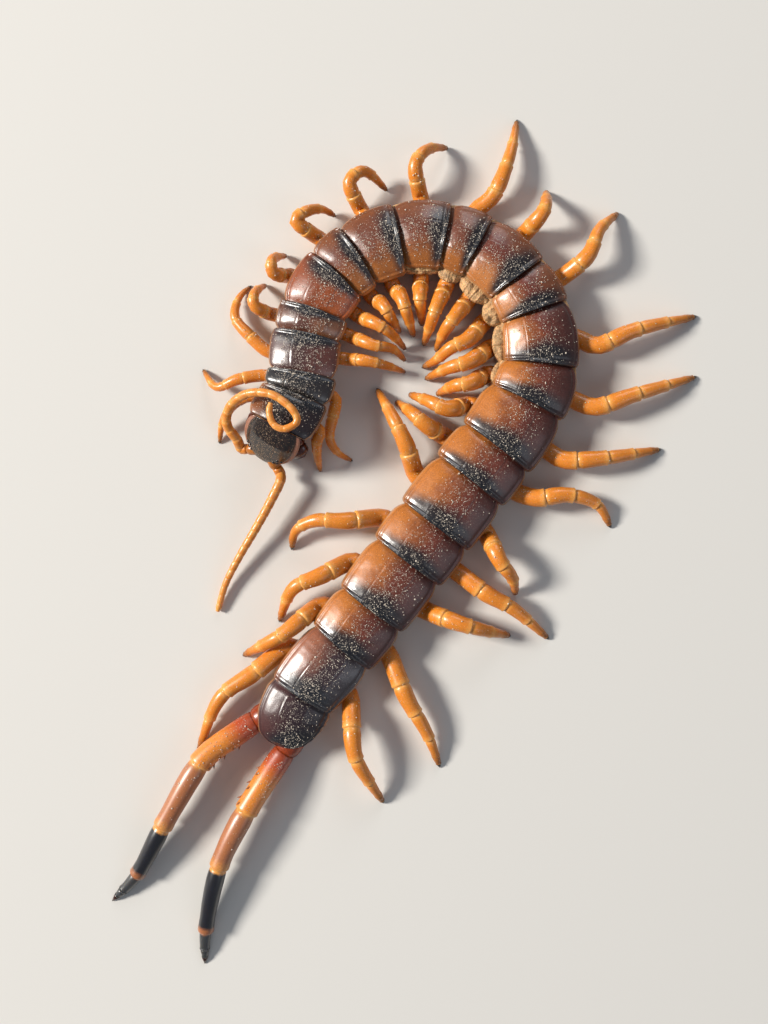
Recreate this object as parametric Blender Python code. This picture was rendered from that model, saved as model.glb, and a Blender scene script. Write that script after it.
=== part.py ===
"""A giant centipede at life size, a still model that rests on its belly and on the tips of its legs."""

import math
import random

import bmesh
import bpy
import numpy as np

# Units. Everything below is in millimetres until a mesh is made.
MM = 0.001
GAP = 0.3
# The point of the plan below that stands at the origin, under the middle of the whole animal.
PLAN_CENTRE = (2.836, -4.035)

# The line of the back, seen from above: a short neck, a round hook, a straight run and a bent tail.
NECK = ((-13.9, 11.2), (-12.0, 14.9), (-10.9, 18.3))
HOOK_CENTRE = (5.0, 21.4)
HOOK_RADIUS = 15.5
HOOK_ANGLES = (175, -37)
HOOK_STEP = -26.5
TAIL = ((10.4, 2.9), (2.8, -7.0), (-5.0, -17.2), (-10.6, -24.0), (-12.4, -27.6), (-12.6, -31.6))

# The trunk has 21 segments with legs. Long and short back plates follow each other.
SEGMENTS = 21
LONG_PLATES = (1, 3, 5, 7, 8, 10, 12, 14, 16, 18, 20)
LONG_PLATE = (4.7, 0.18)
SHORT_PLATE = (2.6, 0.20)
END_PLATE = 7.2
SEGMENTS_PER_LENGTH = 3
HALF_WIDTH_AT = (1, 5, 9, 13, 17, 20, 21)
HALF_WIDTH = (4.6, 4.75, 5.0, 5.75, 5.75, 4.9, 4.6)
BACK_HEIGHT_AT = (1, 4, 12, 18, 21)
BACK_HEIGHT = (4.7, 5.4, 6.2, 6.0, 5.6)
RIM_SHARE = 0.64
BELLY_RELIEF = 0.25
PLATE_LAP = 0.3
FRONT_LIFT = 4.5
LIFT_RUN = 20.0

# Head, carried nose down and turned a little to its right.
HEAD_PITCH = math.radians(50)
HEAD_YAW = math.radians(-5)
HEAD_LENGTH = 7.0
HEAD_HALF_WIDTH = 4.0
HEAD_HALF_THICKNESS = 1.25
HEAD_HINGE_HEIGHT = 8.0
NECK_SHARE = 0.32
EYE_RADIUS = 0.3

# The poison claws and the plate that carries them lie under the head.
FANG_DEPTH = -2.7
FANG_RADIUS = 0.95
FANG_BENDS = ((4.9, 3.8), (6.0, 3.0), (6.5, 1.8), (6.6, 0.5))
FANG_PROFILE = ((0.0, 0.84), (0.15, 1.0), (0.4, 0.95), (0.55, 0.72), (0.75, 0.5), (0.92, 0.28), (1.0, 0.1))

# Legs: side of the body, root radius, how high the root sits and how long the leg is.
LEG_ROOT_SHARE = 0.86
LEG_ROOT_HEIGHT_SHARE = 0.27
LEG_LEVEL = 1.7
LEG_LENGTH = (11.5, 0.35)
LEG_RADIUS_AT = (1, 6, 12, 20)
LEG_RADIUS = (0.85, 1.12, 1.33, 1.38)
LEG_ARCH = (1.7, 3.3)
LEG_SIDES = 6
TIP_HEIGHT = 0.1
# Along a leg: the place, and the radius there as a share of the root radius.
# Each joint is a narrow ring between two swollen articles, and the claw ends in a point.
LEG_PROFILE = (
    (0.00, 0.90), (0.10, 0.98), (0.27, 0.98), (0.31, 0.80), (0.39, 0.92), (0.50, 0.84),
    (0.54, 0.66), (0.72, 0.66), (0.755, 0.50), (0.93, 0.36), (0.965, 0.22), (1.00, 0.10),
)
# The plan of each walking leg after its root: knee, further bends if any, and the claw on the floor.
RIGHT_LEGS = (
    ((-20.0, 14.6), (-21.9, 12.2), (-22.6, 9.4)),
    ((-19.6, 17.8), (-22.6, 16.9), (-24.9, 19.6)),
    ((-17.8, 23.5), (-20.2, 26.4), (-19.8, 29.2), (-18.2, 31.1)),
    ((-17.3, 27.6), (-17.3, 29.6), (-16.2, 31.2)),
    ((-14.8, 32.0), (-14.9, 34.0), (-13.4, 35.2)),
    ((-11.8, 38.9), (-10.1, 40.4), (-8.3, 41.0), (-6.6, 40.6)),
    ((-4.6, 44.0), (-2.7, 45.7), (0.5, 44.1)),
    ((4.2, 46.4), (6.1, 48.9), (8.8, 50.0)),
    ((14.6, 42.6), (17.0, 48.2), (18.3, 53.9)),
    ((21.2, 40.0), (22.3, 44.0)),
    ((27.3, 34.3), (29.1, 38.1), (32.2, 41.1)),
    ((28.7, 22.5), (33.4, 24.4), (43.0, 26.9)),
    ((28.4, 14.2), (33.4, 15.7), (43.0, 18.6)),
    ((24.2, 7.1), (28.9, 7.2), (38.1, 8.6)),
    ((20.7, 1.9), (24.8, 2.3), (29.0, 1.0), (31.2, -2.2)),
    ((15.5, -6.6), (17.3, -8.9), (18.1, -11.4)),
    ((13.8, -11.0), (17.5, -13.1), (22.7, -17.5)),
    ((11.8, -15.4), (17.4, -17.0)),
    ((3.0, -25.0), (5.8, -30.0), (7.7, -35.1)),
    ((-3.9, -32.5), (-2.0, -36.4), (0.0, -40.0)),
)
LEFT_LEGS = (
    ((-8.95, 9.5), (-9.0, 7.5), (-8.7, 5.5)),
    ((-6.8, 13.0), (-7.3, 10.9), (-7.2, 9.4), (-6.2, 8.0), (-4.3, 7.0)),
    ((-1.6, 20.1), (3.0, 19.2)),
    ((-1.4, 22.3), (1.2, 22.0), (3.0, 20.7)),
    ((-2.2, 25.8), (0.9, 24.0), (3.0, 22.3)),
    ((-0.6, 28.3), (0.6, 26.5), (2.2, 24.6)),
    ((2.1, 29.2), (3.1, 26.5), (4.1, 24.0)),
    ((4.8, 28.4), (5.2, 25.6)),
    ((6.8, 26.8), (6.0, 24.5), (5.4, 22.8)),
    ((9.6, 26.2), (8.1, 24.2), (7.1, 22.0)),
    ((11.3, 23.1), (9.0, 22.0), (6.9, 20.5), (5.2, 19.8)),
    ((11.4, 20.1), (8.6, 19.3), (5.6, 18.2)),
    ((11.6, 17.25), (9.3, 16.9), (7.2, 16.1)),
    ((8.4, 13.8), (5.8, 15.0), (3.4, 16.2)),
    ((5.5, 11.7), (3.4, 13.6), (1.6, 15.2)),
    ((2.9, 9.1), (1.3, 12.4), (-1.0, 17.0)),
    ((-5.2, -1.2), (-9.5, -1.2), (-12.0, -2.6), (-12.7, -5.2)),
    ((-8.6, -8.6), (-12.2, -10.3), (-14.4, -15.1)),
    ((-13.6, -16.4), (-16.6, -18.1), (-19.4, -19.75)),
    ((-17.8, -21.9), (-22.1, -25.1), (-25.6, -33.1)),
)

# The last pair of legs trails behind and is much stouter.
END_LEG_PLANS = {
    "left": ((-20.4, -30.3), (-24.0, -32.9), (-29.4, -41.6), (-33.7, -49.4), (-37.3, -53.4)),
    "right": ((-15.6, -35.6), (-18.3, -39.8), (-22.1, -47.4), (-24.3, -57.1), (-24.6, -62.0)),
}
END_LEG_ROOTS = {"left": (-17.3, -28.3), "right": (-13.4, -32.4)}
END_LEG_RADIUS = 1.75
END_LEG_ROOT_HEIGHT = 2.0
END_LEG_SIDES = 8
# Where the three stout articles of each last leg end, as shares of its length.
END_LEG_JOINTS = {"left": (0.284, 0.587, 0.832), "right": (0.287, 0.547, 0.844)}

# Feelers: plan and height of the points that each passes.
RIGHT_FEELER = (
    (-19.7, 9.7, 3.7), (-20.8, 11.4, 4.9), (-20.7, 12.9, 6.0), (-19.8, 14.2, 7.1), (-18.0, 15.2, 8.4),
    (-16.5, 15.4, 9.1), (-14.5, 15.1, 9.8), (-12.8, 14.1, 10.2), (-11.5, 12.8, 10.4), (-11.1, 11.6, 10.4),
    (-12.1, 10.8, 10.3), (-13.1, 10.65, 10.2), (-14.2, 11.3, 10.1), (-14.7, 12.8, 10.1), (-14.5, 14.0, 10.1),
)
LEFT_FEELER = (
    (-13.9, 4.4, 3.0), (-15.2, 1.6, 2.9), (-17.3, -2.2, 2.5), (-19.6, -6.0, 1.8), (-21.6, -9.8, 1.1),
    (-22.8, -13.6, 0.5),
)
FEELER_RADIUS = (0.74, 0.42)
FEELER_ARTICLES = 18
FEELER_SIDES = 6

COLOURS = {
    "dark_plate": ("2a2020", 0.38),
    "brick_plate": ("9c4326", 0.34),
    "orange_leg": ("d9661f", 0.32),
    "black_leg": ("3a2522", 0.28),
    "fang": ("5a2a1c", 0.25),
}


def linear(hex_colour):
    """A hex colour as linear red, green, blue and alpha."""
    channels = [int(hex_colour[i:i + 2], 16) / 255 for i in (0, 2, 4)]
    return [c / 12.92 if c <= 0.04045 else ((c + 0.055) / 1.055) ** 2.4 for c in channels] + [1.0]


def material(name):
    """The finish of one kind of cuticle."""
    made = bpy.data.materials.get(name)
    if made:
        return made
    colour, roughness = COLOURS[name]
    made = bpy.data.materials.new(name)
    made.use_nodes = True
    shader = made.node_tree.nodes["Principled BSDF"]
    shader.inputs["Base Color"].default_value = linear(colour)
    shader.inputs["Roughness"].default_value = roughness
    shader.inputs["Metallic"].default_value = 0.0
    return made


def unit(vector):
    """The vector at length one."""
    return vector / np.linalg.norm(vector)


def smooth_curve(points, steps=24):
    """Dense points on a centripetal curve through the given ones."""
    points = [np.array(p, float) for p in points]
    knots = [2 * points[0] - points[1], *points, 2 * points[-1] - points[-2]]
    curve = []
    for a, b, c, d in zip(knots, knots[1:], knots[2:], knots[3:]):
        t1 = math.sqrt(np.linalg.norm(b - a))
        t2 = t1 + math.sqrt(np.linalg.norm(c - b))
        t3 = t2 + math.sqrt(np.linalg.norm(d - c))
        for t in np.linspace(t1, t2, steps, endpoint=False):
            ab = a + (b - a) * t / t1
            bc = b + (c - b) * (t - t1) / (t2 - t1)
            cd = c + (d - c) * (t - t2) / (t3 - t2)
            abc = ab + (bc - ab) * t / t2
            bcd = bc + (cd - bc) * (t - t1) / (t3 - t1)
            curve.append(abc + (bcd - abc) * (t - t1) / (t2 - t1))
    curve.append(points[-1])
    return np.array(curve)


class Line:
    """A curve that is asked for points by the distance along it."""

    def __init__(self, curve):
        self.curve = curve
        steps = np.linalg.norm(np.diff(curve, axis=0), axis=1)
        self.reach = np.concatenate([[0.0], np.cumsum(steps)])
        self.length = self.reach[-1]

    def at(self, distance):
        """The point at this distance, past the ends in a straight line."""
        inside = min(max(distance, 0.0), self.length)
        point = np.array([np.interp(inside, self.reach, column) for column in self.curve.T])
        if distance != inside:
            point = point + self.heading(inside) * (distance - inside)
        return point

    def heading(self, distance, span=0.4):
        """The direction of travel there."""
        low = max(distance - span, 0.0)
        high = min(distance + span, self.length)
        ends = [np.array([np.interp(d, self.reach, c) for c in self.curve.T]) for d in (low, high)]
        return unit(ends[1] - ends[0])


def spine_line():
    """The line of the back from the first segment's front to the end of the tail."""
    start, end = HOOK_ANGLES
    hook = [
        (
            HOOK_CENTRE[0] + HOOK_RADIUS * math.cos(math.radians(angle)),
            HOOK_CENTRE[1] + HOOK_RADIUS * math.sin(math.radians(angle)),
        )
        for angle in np.arange(start, end + HOOK_STEP / 2, HOOK_STEP)
    ]
    return Line(smooth_curve([*NECK, *hook, *TAIL]))


SPINE = spine_line()


def plate_length(number):
    """How long the back plate of this segment is, before the plates share out the spine."""
    if number == SEGMENTS:
        return END_PLATE
    base, growth = LONG_PLATE if number in LONG_PLATES else SHORT_PLATE
    return base + growth * number


def segment_edges():
    """Distances along the spine where the segments meet."""
    lengths = [plate_length(number) for number in range(1, SEGMENTS + 1)]
    share = SPINE.length / sum(lengths)
    return np.concatenate([[0.0], np.cumsum(lengths) * share])


EDGES = segment_edges()


def segment_value(values_at, values, distance):
    """A size that changes from segment to segment, read at a distance along the spine."""
    middles = (EDGES[:-1] + EDGES[1:]) / 2
    return float(np.interp(distance, middles[np.array(values_at) - 1], values))


def lift(distance):
    """How high the front of the trunk is raised off the floor."""
    return FRONT_LIFT * max(0.0, 1 - distance / LIFT_RUN) ** 2


def station(distance):
    """A point of the spine with the directions back along the body and out to its left."""
    back = SPINE.heading(distance)
    return SPINE.at(distance), back, np.array([back[1], -back[0]])


def body_point(distance, side, height):
    """The point this far to the animal's left of the spine and this far above the raised belly."""
    centre, _, left = station(distance)
    return np.array([*(centre + left * side), height + lift(distance)])


def trunk_ring(distance, plane, wide, tall, belly):
    """One cross-section in the plane of a station: flat belly, soft flank, overhanging rim, arched back."""
    half = segment_value(HALF_WIDTH_AT, HALF_WIDTH, distance) * wide
    top = segment_value(BACK_HEIGHT_AT, BACK_HEIGHT, distance) + tall
    rim = segment_value(BACK_HEIGHT_AT, BACK_HEIGHT, distance) * RIM_SHARE
    flank = (
        (0.46, belly), (0.66, 0.75 + belly), (0.75, 1.9), (0.80, rim - 0.65), (0.97, rim - 0.3), (1.0, rim + 0.05),
        (0.86, rim + 0.58 * (top - rim)), (0.5, rim + 0.9 * (top - rim)),
    )
    profile = [(0.0, belly), *flank, (0.0, top), *((-side, height) for side, height in reversed(flank))]
    centre, _, left = station(plane)
    centre = centre + SPINE.heading(plane) * (distance - plane)
    raised = lift(distance)
    return np.array([[*(centre + left * side * half), height + raised] for side, height in profile])


def segment_rings(number):
    """The cross-sections of one segment, its front tucked under the plate before it."""
    front, rear = EDGES[number - 1], EDGES[number]
    size = rear - front
    if number == SEGMENTS:
        steps = [(0.0, 0.93), (0.12, 0.99), (0.45, 1.0), (0.7, 0.9), (0.86, 0.68), (0.96, 0.4), (1.0, 0.16)]
        return [
            (front + PLATE_LAP * (share == 0) + size * share, wide, -0.4 * (share == 0) - 1.4 * share ** 3,
             BELLY_RELIEF * (share in (0.0, 1.0)) + 1.2 * max(0.0, share - 0.7))
            for share, wide in steps
        ]
    return [
        (front + PLATE_LAP, 0.93, -0.4, BELLY_RELIEF),
        (front + size * 0.16, 0.98, -0.12, 0.0),
        (front + size * 0.5, 1.0, 0.0, 0.0),
        (rear - size * 0.12, 0.99, 0.04, 0.0),
        (rear, 0.96, 0.1, BELLY_RELIEF),
    ]


def loft(rings):
    """A closed mesh through rings of equal count, with flat ends."""
    count = len(rings[0])
    points = np.concatenate(rings)
    faces = [tuple(range(count))[::-1]]
    for row in range(len(rings) - 1):
        for i in range(count):
            j = (i + 1) % count
            base = row * count
            faces.append((base + i, base + j, base + count + j, base + count + i))
    faces.append(tuple((len(rings) - 1) * count + i for i in range(count)))
    return points, faces


def mesh_object(name, shape, finish=None):
    """An object from points in millimetres, with its faces turned outwards."""
    points, faces = shape
    placed = (np.array(points) - np.array([*PLAN_CENTRE, 0.0])) * MM
    mesh = bpy.data.meshes.new(name)
    mesh.from_pydata(placed.tolist(), [], faces)
    shape_mesh = bmesh.new()
    shape_mesh.from_mesh(mesh)
    bmesh.ops.recalc_face_normals(shape_mesh, faces=shape_mesh.faces)
    shape_mesh.to_mesh(mesh)
    shape_mesh.free()
    made = bpy.data.objects.new(name, mesh)
    bpy.context.scene.collection.objects.link(made)
    if finish:
        mesh.materials.append(material(finish))
    return made


def keep_largest_surface(mesh):
    """Drops every closed surface but the largest one."""
    shape = bmesh.new()
    shape.from_mesh(mesh)
    bmesh.ops.remove_doubles(shape, verts=shape.verts, dist=2e-6)
    bmesh.ops.dissolve_degenerate(shape, edges=shape.edges, dist=1e-6)
    left = set(shape.faces)
    surfaces = []
    while left:
        found = {left.pop()}
        edge_of_search = list(found)
        while edge_of_search:
            face = edge_of_search.pop()
            near = {n for edge in face.edges for n in edge.link_faces} & left
            left -= near
            found |= near
            edge_of_search.extend(near)
        surfaces.append(found)
    largest = max(surfaces, key=lambda faces: sum(face.calc_area() for face in faces))
    loose = [face for faces in surfaces if faces is not largest for face in faces]
    bmesh.ops.delete(shape, geom=loose, context="FACES")
    bmesh.ops.recalc_face_normals(shape, faces=shape.faces)
    shape.to_mesh(mesh)
    shape.free()


def fused(name, shapes, finish):
    """One closed body from pieces that run into each other."""
    body = mesh_object(name, shapes[0], finish)
    if len(shapes) > 1:
        extras = bpy.data.collections.new(name + "_pieces")
        for number, shape in enumerate(shapes[1:]):
            piece = mesh_object(f"{name}_piece_{number}", shape)
            bpy.context.scene.collection.objects.unlink(piece)
            extras.objects.link(piece)
        union = body.modifiers.new("union", "BOOLEAN")
        union.operation = "UNION"
        union.operand_type = "COLLECTION"
        union.collection = extras
        union.solver = "EXACT"
        view = bpy.context.evaluated_depsgraph_get()
        joined = bpy.data.meshes.new_from_object(body.evaluated_get(view))
        body.modifiers.clear()
        body.data = joined
        for piece in list(extras.objects):
            bpy.data.objects.remove(piece)
        bpy.data.collections.remove(extras)
    keep_largest_surface(body.data)
    body.data.shade_smooth()
    body.data.set_sharp_from_angle(angle=math.radians(35))
    return body


def tube(line, profile, radius, sides, root=None, on_floor=False):
    """Rings along a line, each place and radius a share of the line's length and of the given radius.

    A root direction turns the first ring parallel to the face that the tube grows from.
    """
    rings = []
    for place, share in profile:
        distance = place * line.length
        ahead = line.heading(distance) if place or root is None else root
        out = unit(np.cross(ahead, (0.0, 0.0, 1.0)))
        up = np.cross(out, ahead)
        turns = np.arange(sides) * 2 * math.pi / sides + (math.pi / sides if sides == 8 else 0.0)
        ring = [
            line.at(distance) + (out * math.cos(turn) + up * math.sin(turn)) * radius * share
            for turn in turns
        ]
        rings.append(np.array(ring))
    if on_floor:
        for ring in rings[-2:]:
            low = ring[:, 2] < ring[:, 2].min() + 0.02
            ring[low, 2] = 0.0
        for ring in rings:
            ring[:, 2] = np.maximum(ring[:, 2], 0.0)
    return loft(rings)


def ball(centre, radius, rows=5, sides=8):
    """A small round solid."""
    rings = []
    for row in range(1, rows):
        angle = math.pi * row / rows
        turns = np.arange(sides) * 2 * math.pi / sides
        ring = [
            np.array(centre) + radius * np.array(
                [math.sin(angle) * math.cos(t), math.sin(angle) * math.sin(t), math.cos(angle)]
            )
            for t in turns
        ]
        rings.append(np.array(ring))
    return loft(rings)


def side_sign(side):
    """Plus one on the animal's left, minus one on its right."""
    return 1 if side == "left" else -1


def leg_plan(number, side):
    """The plan points of a walking leg after its root."""
    return (LEFT_LEGS if side == "left" else RIGHT_LEGS)[number - 1]


def leg_root(number, side):
    """The centre and the direction of the flat face that a walking leg grows from."""
    sign = side_sign(side)
    middle = (EDGES[number - 1] + EDGES[number]) / 2
    half = segment_value(HALF_WIDTH_AT, HALF_WIDTH, middle)
    height = segment_value(BACK_HEIGHT_AT, BACK_HEIGHT, middle) * LEG_ROOT_HEIGHT_SHARE
    root = body_point(middle, sign * half * LEG_ROOT_SHARE, height)
    _, _, left = station(middle)
    towards = unit(np.array(leg_plan(number, side)[0]) - root[:2])
    out = unit(left * sign * 1.4 + towards)
    return root, np.array([*out, 0.0])


def arched(plan, root, start_height, arch):
    """A leg's curve in space over its plan: up from the root, over the knee and down to the floor."""
    flat = Line(smooth_curve([root, *plan], 16))
    points = []
    for distance, point in zip(flat.reach, flat.curve):
        share = max(0.0, distance - LEG_LEVEL) / (flat.length - LEG_LEVEL)
        height = TIP_HEIGHT + (start_height - TIP_HEIGHT) * (1 - share) + arch * math.sin(math.pi * share ** 0.85)
        points.append([*point, height])
    return Line(np.array(points))


def leg_line(number, side):
    """The middle line of a walking leg. What its length leaves over its plan goes into its arch."""
    root, out = leg_root(number, side)
    start = root + out * GAP
    base, growth = LEG_LENGTH
    wanted = base + growth * number
    plan = [start[:2] + out[:2] * 0.9, *leg_plan(number, side)]
    raised = lift((EDGES[number - 1] + EDGES[number]) / 2)
    low, high = (max(0.0, arch - raised) for arch in LEG_ARCH)
    for _ in range(12):
        arch = (low + high) / 2
        line = arched(plan, start[:2], start[2], arch)
        low, high = (low, arch) if line.length > wanted else (arch, high)
    return line


def leg_radius(number):
    """The root radius of a walking leg."""
    return float(np.interp(number, LEG_RADIUS_AT, LEG_RADIUS))


def leg_boss(number, side):
    """The short hip that joins a walking leg's root to the flank."""
    root, out = leg_root(number, side)
    radius = leg_radius(number)
    inner = root - out * 2.6
    hip = Line(np.array([inner, root]))
    profile = ((0.0, 0.8), (0.55, 1.0), (1.0, 0.95))
    return tube(hip, profile, radius, LEG_SIDES)


def build_walking_legs():
    """Forty walking legs, each on the floor by its claw."""
    for number in range(1, SEGMENTS):
        for side in ("left", "right"):
            _, out = leg_root(number, side)
            shape = tube(leg_line(number, side), LEG_PROFILE, leg_radius(number), LEG_SIDES, out, on_floor=True)
            fused(f"leg_{number:02d}_{side}", [shape], "orange_leg")


def end_leg_root(side):
    """The centre and the direction of the flat face that a last leg grows from."""
    root = np.array([*END_LEG_ROOTS[side], END_LEG_ROOT_HEIGHT])
    out = unit(np.array(END_LEG_PLANS[side][0]) - root[:2])
    return root, np.array([*out, 0.0])


def end_leg_line(side):
    """The middle line of a last leg."""
    root, out = end_leg_root(side)
    start = root + out * GAP
    return arched(END_LEG_PLANS[side], start[:2], start[2], 1.9)


def end_leg_profile(side):
    """Places and radii along a last leg: three stout articles, a two-part foot and a claw."""
    first, second, third = END_LEG_JOINTS[side]
    return (
        (0.00, 0.86), (0.05, 0.98), (0.20, 1.02), (first - 0.02, 0.92), (first, 0.72), (first + 0.035, 0.88),
        (second - 0.04, 0.88), (second - 0.012, 0.80), (second + 0.005, 0.60), (second + 0.04, 0.70),
        (third - 0.05, 0.66), (third - 0.01, 0.58), (third + 0.01, 0.42), (third + 0.05, 0.46), (0.93, 0.38),
        (0.965, 0.24), (1.00, 0.06),
    )


def end_leg_boss(side):
    """The thick hip under the end plate."""
    root, out = end_leg_root(side)
    hip = Line(np.array([root - out * 4.2, root]))
    return tube(hip, ((0.0, 0.7), (0.5, 1.0), (1.0, 0.92)), END_LEG_RADIUS, END_LEG_SIDES)


def build_end_legs():
    """The last pair of legs with the spines of their first article."""
    draw = random.Random(7)
    for side in ("left", "right"):
        line = end_leg_line(side)
        _, root_way = end_leg_root(side)
        shapes = [tube(line, end_leg_profile(side), END_LEG_RADIUS, END_LEG_SIDES, root_way, on_floor=True)]
        for row in range(3):
            place = (0.10 + 0.07 * row) * line.length
            ahead = line.heading(place)
            out = unit(np.cross(ahead, (0.0, 0.0, 1.0))) * -side_sign(side)
            foot = line.at(place) + out * END_LEG_RADIUS * 0.6
            tip = line.at(place + 0.9) + out * (END_LEG_RADIUS + 0.45 + 0.2 * draw.random())
            spike = Line(np.array([foot, tip]))
            shapes.append(tube(spike, ((0.0, 1.0), (0.6, 0.6), (1.0, 0.12)), 0.42, 5))
        fused(f"leg_21_{side}", shapes, "black_leg")


def build_trunk():
    """The trunk in seven lengths of three segments, each with its hips."""
    for first in range(1, SEGMENTS, SEGMENTS_PER_LENGTH):
        last = first + SEGMENTS_PER_LENGTH - 1
        rows = [row for number in range(first, last + 1) for row in segment_rings(number)]
        rows[0] = (EDGES[first - 1] + GAP / 2, *rows[0][1:])
        if last < SEGMENTS:
            rows[-1] = (EDGES[last] - GAP / 2, *rows[-1][1:])
        rings = []
        for number, (distance, wide, tall, belly) in enumerate(rows):
            plane = distance
            if number == 0:
                plane = EDGES[first - 1]
            if number == len(rows) - 1:
                plane = EDGES[last]
            rings.append(trunk_ring(distance, plane, wide, tall, belly))
        shapes = [loft(rings)]
        for number in range(first, last + 1):
            if number < SEGMENTS:
                shapes += [leg_boss(number, side) for side in ("left", "right")]
        if last == SEGMENTS:
            shapes += [end_leg_boss(side) for side in ("left", "right")]
        if first == 1:
            shapes += [fang_base(), fang_boss("left"), fang_boss("right")]
        fused(f"trunk_{first:02d}_{last:02d}", shapes, "brick_plate")


def head_axes():
    """The hinge of the head and its directions forward, to the left and up."""
    centre, back, _ = station(0.0)
    heading = math.atan2(-back[1], -back[0]) + HEAD_YAW
    level = np.array([math.cos(heading), math.sin(heading), 0.0])
    left = np.array([-level[1], level[0], 0.0])
    up = np.array([0.0, 0.0, 1.0])
    forward = level * math.cos(HEAD_PITCH) - up * math.sin(HEAD_PITCH)
    hinge = np.array([*(centre - back * (GAP / 2)), HEAD_HINGE_HEIGHT])
    return hinge, forward, left, level * math.sin(HEAD_PITCH) + up * math.cos(HEAD_PITCH)


def head_point(ahead, side, above):
    """A point in the tilted frame of the head."""
    hinge, forward, left, up = head_axes()
    return hinge + forward * ahead + left * side + up * above


def head_half_width(share):
    """The outline of the head plate from its rear edge to its front."""
    return HEAD_HALF_WIDTH * float(np.interp(
        share, (0.0, 0.12, 0.35, 0.6, 0.8, 0.92, 1.0), (0.86, 0.95, 1.0, 0.93, 0.74, 0.5, 0.26)
    ))


def head_ring(share):
    """One cross-section of the head: domed above, flatter below, with a rim at each side."""
    half = head_half_width(share)
    thick = HEAD_HALF_THICKNESS * float(np.interp(share, (0.0, 0.3, 0.8, 1.0), (1.0, 1.05, 0.8, 0.45)))
    outline = (
        (0.0, -1.0), (0.5, -0.95), (0.85, -0.6), (1.0, -0.05), (0.93, 0.35), (0.68, 0.75), (0.36, 0.95),
        (0.0, 1.0), (-0.36, 0.95), (-0.68, 0.75), (-0.93, 0.35), (-1.0, -0.05), (-0.85, -0.6), (-0.5, -0.95),
    )
    return np.array([head_point(HEAD_LENGTH * share, side * half, above * thick) for side, above in outline])


def neck_ring(share):
    """A ring near the rear of the head, turned from upright at the neck to the tilt of the head."""
    ring = head_ring(share)
    centre, back, left = station(0.0)
    middle = head_point(HEAD_LENGTH * share, 0.0, 0.0)
    ahead = float((middle[:2] - centre) @ -back)
    face = np.array([*(centre - back * ahead), 0.0])
    across = np.array([*left, 0.0])
    upright = np.array([
        face + across * float((point - face) @ across) + np.array([0.0, 0.0, point[2]])
        for point in ring
    ])
    tilt = share / NECK_SHARE
    return upright * (1 - tilt) + ring * tilt


def feeler_root(sign):
    """The centre and the direction of the flat face that a feeler grows from."""
    root = head_point(6.75, 2.15 * sign, 0.1)
    return root, unit(root - head_point(5.7, 0.9 * sign, 0.05))


def build_head():
    """The head with its lower mouthparts, four small eyes on each side and two feeler sockets."""
    neck = [neck_ring(NECK_SHARE * step) for step in (0.0, 0.33, 0.66)]
    shares = (NECK_SHARE, 0.45, 0.6, 0.74, 0.86, 0.95, 1.0)
    shapes = [loft([*neck, *(head_ring(share) for share in shares)])]
    for sign in (1, -1):
        socket, ahead = feeler_root(sign)
        neck = Line(np.array([socket - ahead * 2.4, socket]))
        shapes.append(tube(neck, ((0.0, 0.9), (0.7, 1.0), (1.0, 0.88)), FEELER_RADIUS[0] + 0.1, 8))
        for row, (ahead, side) in enumerate(((5.0, 3.45), (5.75, 2.95), (4.85, 2.85), (5.55, 2.4))):
            above = 0.42 if row < 2 else 0.66
            shapes.append(ball(head_point(ahead, side * sign, above), EYE_RADIUS))
    fused("head", shapes, "dark_plate")


def fang_base():
    """The plate under the head that carries the poison fangs, part of the first segment."""
    stations = ((-1.2, 3.4, 0.9), (0.6, 3.6, 1.05), (2.6, 3.3, 1.0), (3.9, 2.3, 0.8), (4.4, 1.5, 0.55))
    rings = []
    for ahead, half, thick in stations:
        turns = np.arange(10) * 2 * math.pi / 10
        rings.append(np.array([
            head_point(ahead, half * math.cos(turn), FANG_DEPTH + thick * math.sin(turn)) for turn in turns
        ]))
    return loft(rings)


def fang_root(side):
    """The centre and the direction of the flat face that a poison claw grows from."""
    sign = side_sign(side)
    root = head_point(3.4, 3.2 * sign, FANG_DEPTH)
    return root, unit(root - head_point(2.4, 2.3 * sign, FANG_DEPTH))


def fang_boss(side):
    """The short joint between the plate under the head and a poison claw."""
    root, out = fang_root(side)
    return tube(Line(np.array([root - out * 2.0, root])), ((0.0, 0.8), (1.0, 0.86)), FANG_RADIUS, 8)


def build_fangs():
    """The two poison claws, curved round under the head until their tips nearly meet."""
    for side in ("left", "right"):
        sign = side_sign(side)
        root, out = fang_root(side)
        bends = [head_point(ahead, out_by * sign, FANG_DEPTH) for ahead, out_by in FANG_BENDS]
        line = Line(smooth_curve([root + out * GAP, root + out * 0.9, *bends]))
        fused(f"forcipule_{side}", [tube(line, FANG_PROFILE, FANG_RADIUS, 8, out)], "fang")


def build_feelers():
    """The two feelers, each of many short articles."""
    steps = []
    for article in range(FEELER_ARTICLES):
        start = article / FEELER_ARTICLES
        thick = 1 + (FEELER_RADIUS[1] / FEELER_RADIUS[0] - 1) * start
        steps += [(start, thick * 0.86), (start + 0.62 / FEELER_ARTICLES, thick)]
    steps.append((1.0, FEELER_RADIUS[1] / FEELER_RADIUS[0] * 0.5))
    for side, route in (("left", LEFT_FEELER), ("right", RIGHT_FEELER)):
        socket, ahead = feeler_root(side_sign(side))
        line = Line(smooth_curve([socket + ahead * GAP, socket + ahead * 1.2, *route]))
        fused(f"antenna_{side}", [tube(line, steps, FEELER_RADIUS[0], FEELER_SIDES, ahead)], "orange_leg")


def main():
    """Clears the scene and builds the animal."""
    for old in list(bpy.data.objects):
        bpy.data.objects.remove(old)
    build_trunk()
    build_head()
    build_fangs()
    build_feelers()
    build_walking_legs()
    build_end_legs()


main()
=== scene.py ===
"""A giant centipede at life size: plates, articles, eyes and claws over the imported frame, in studio light."""

import math

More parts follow.
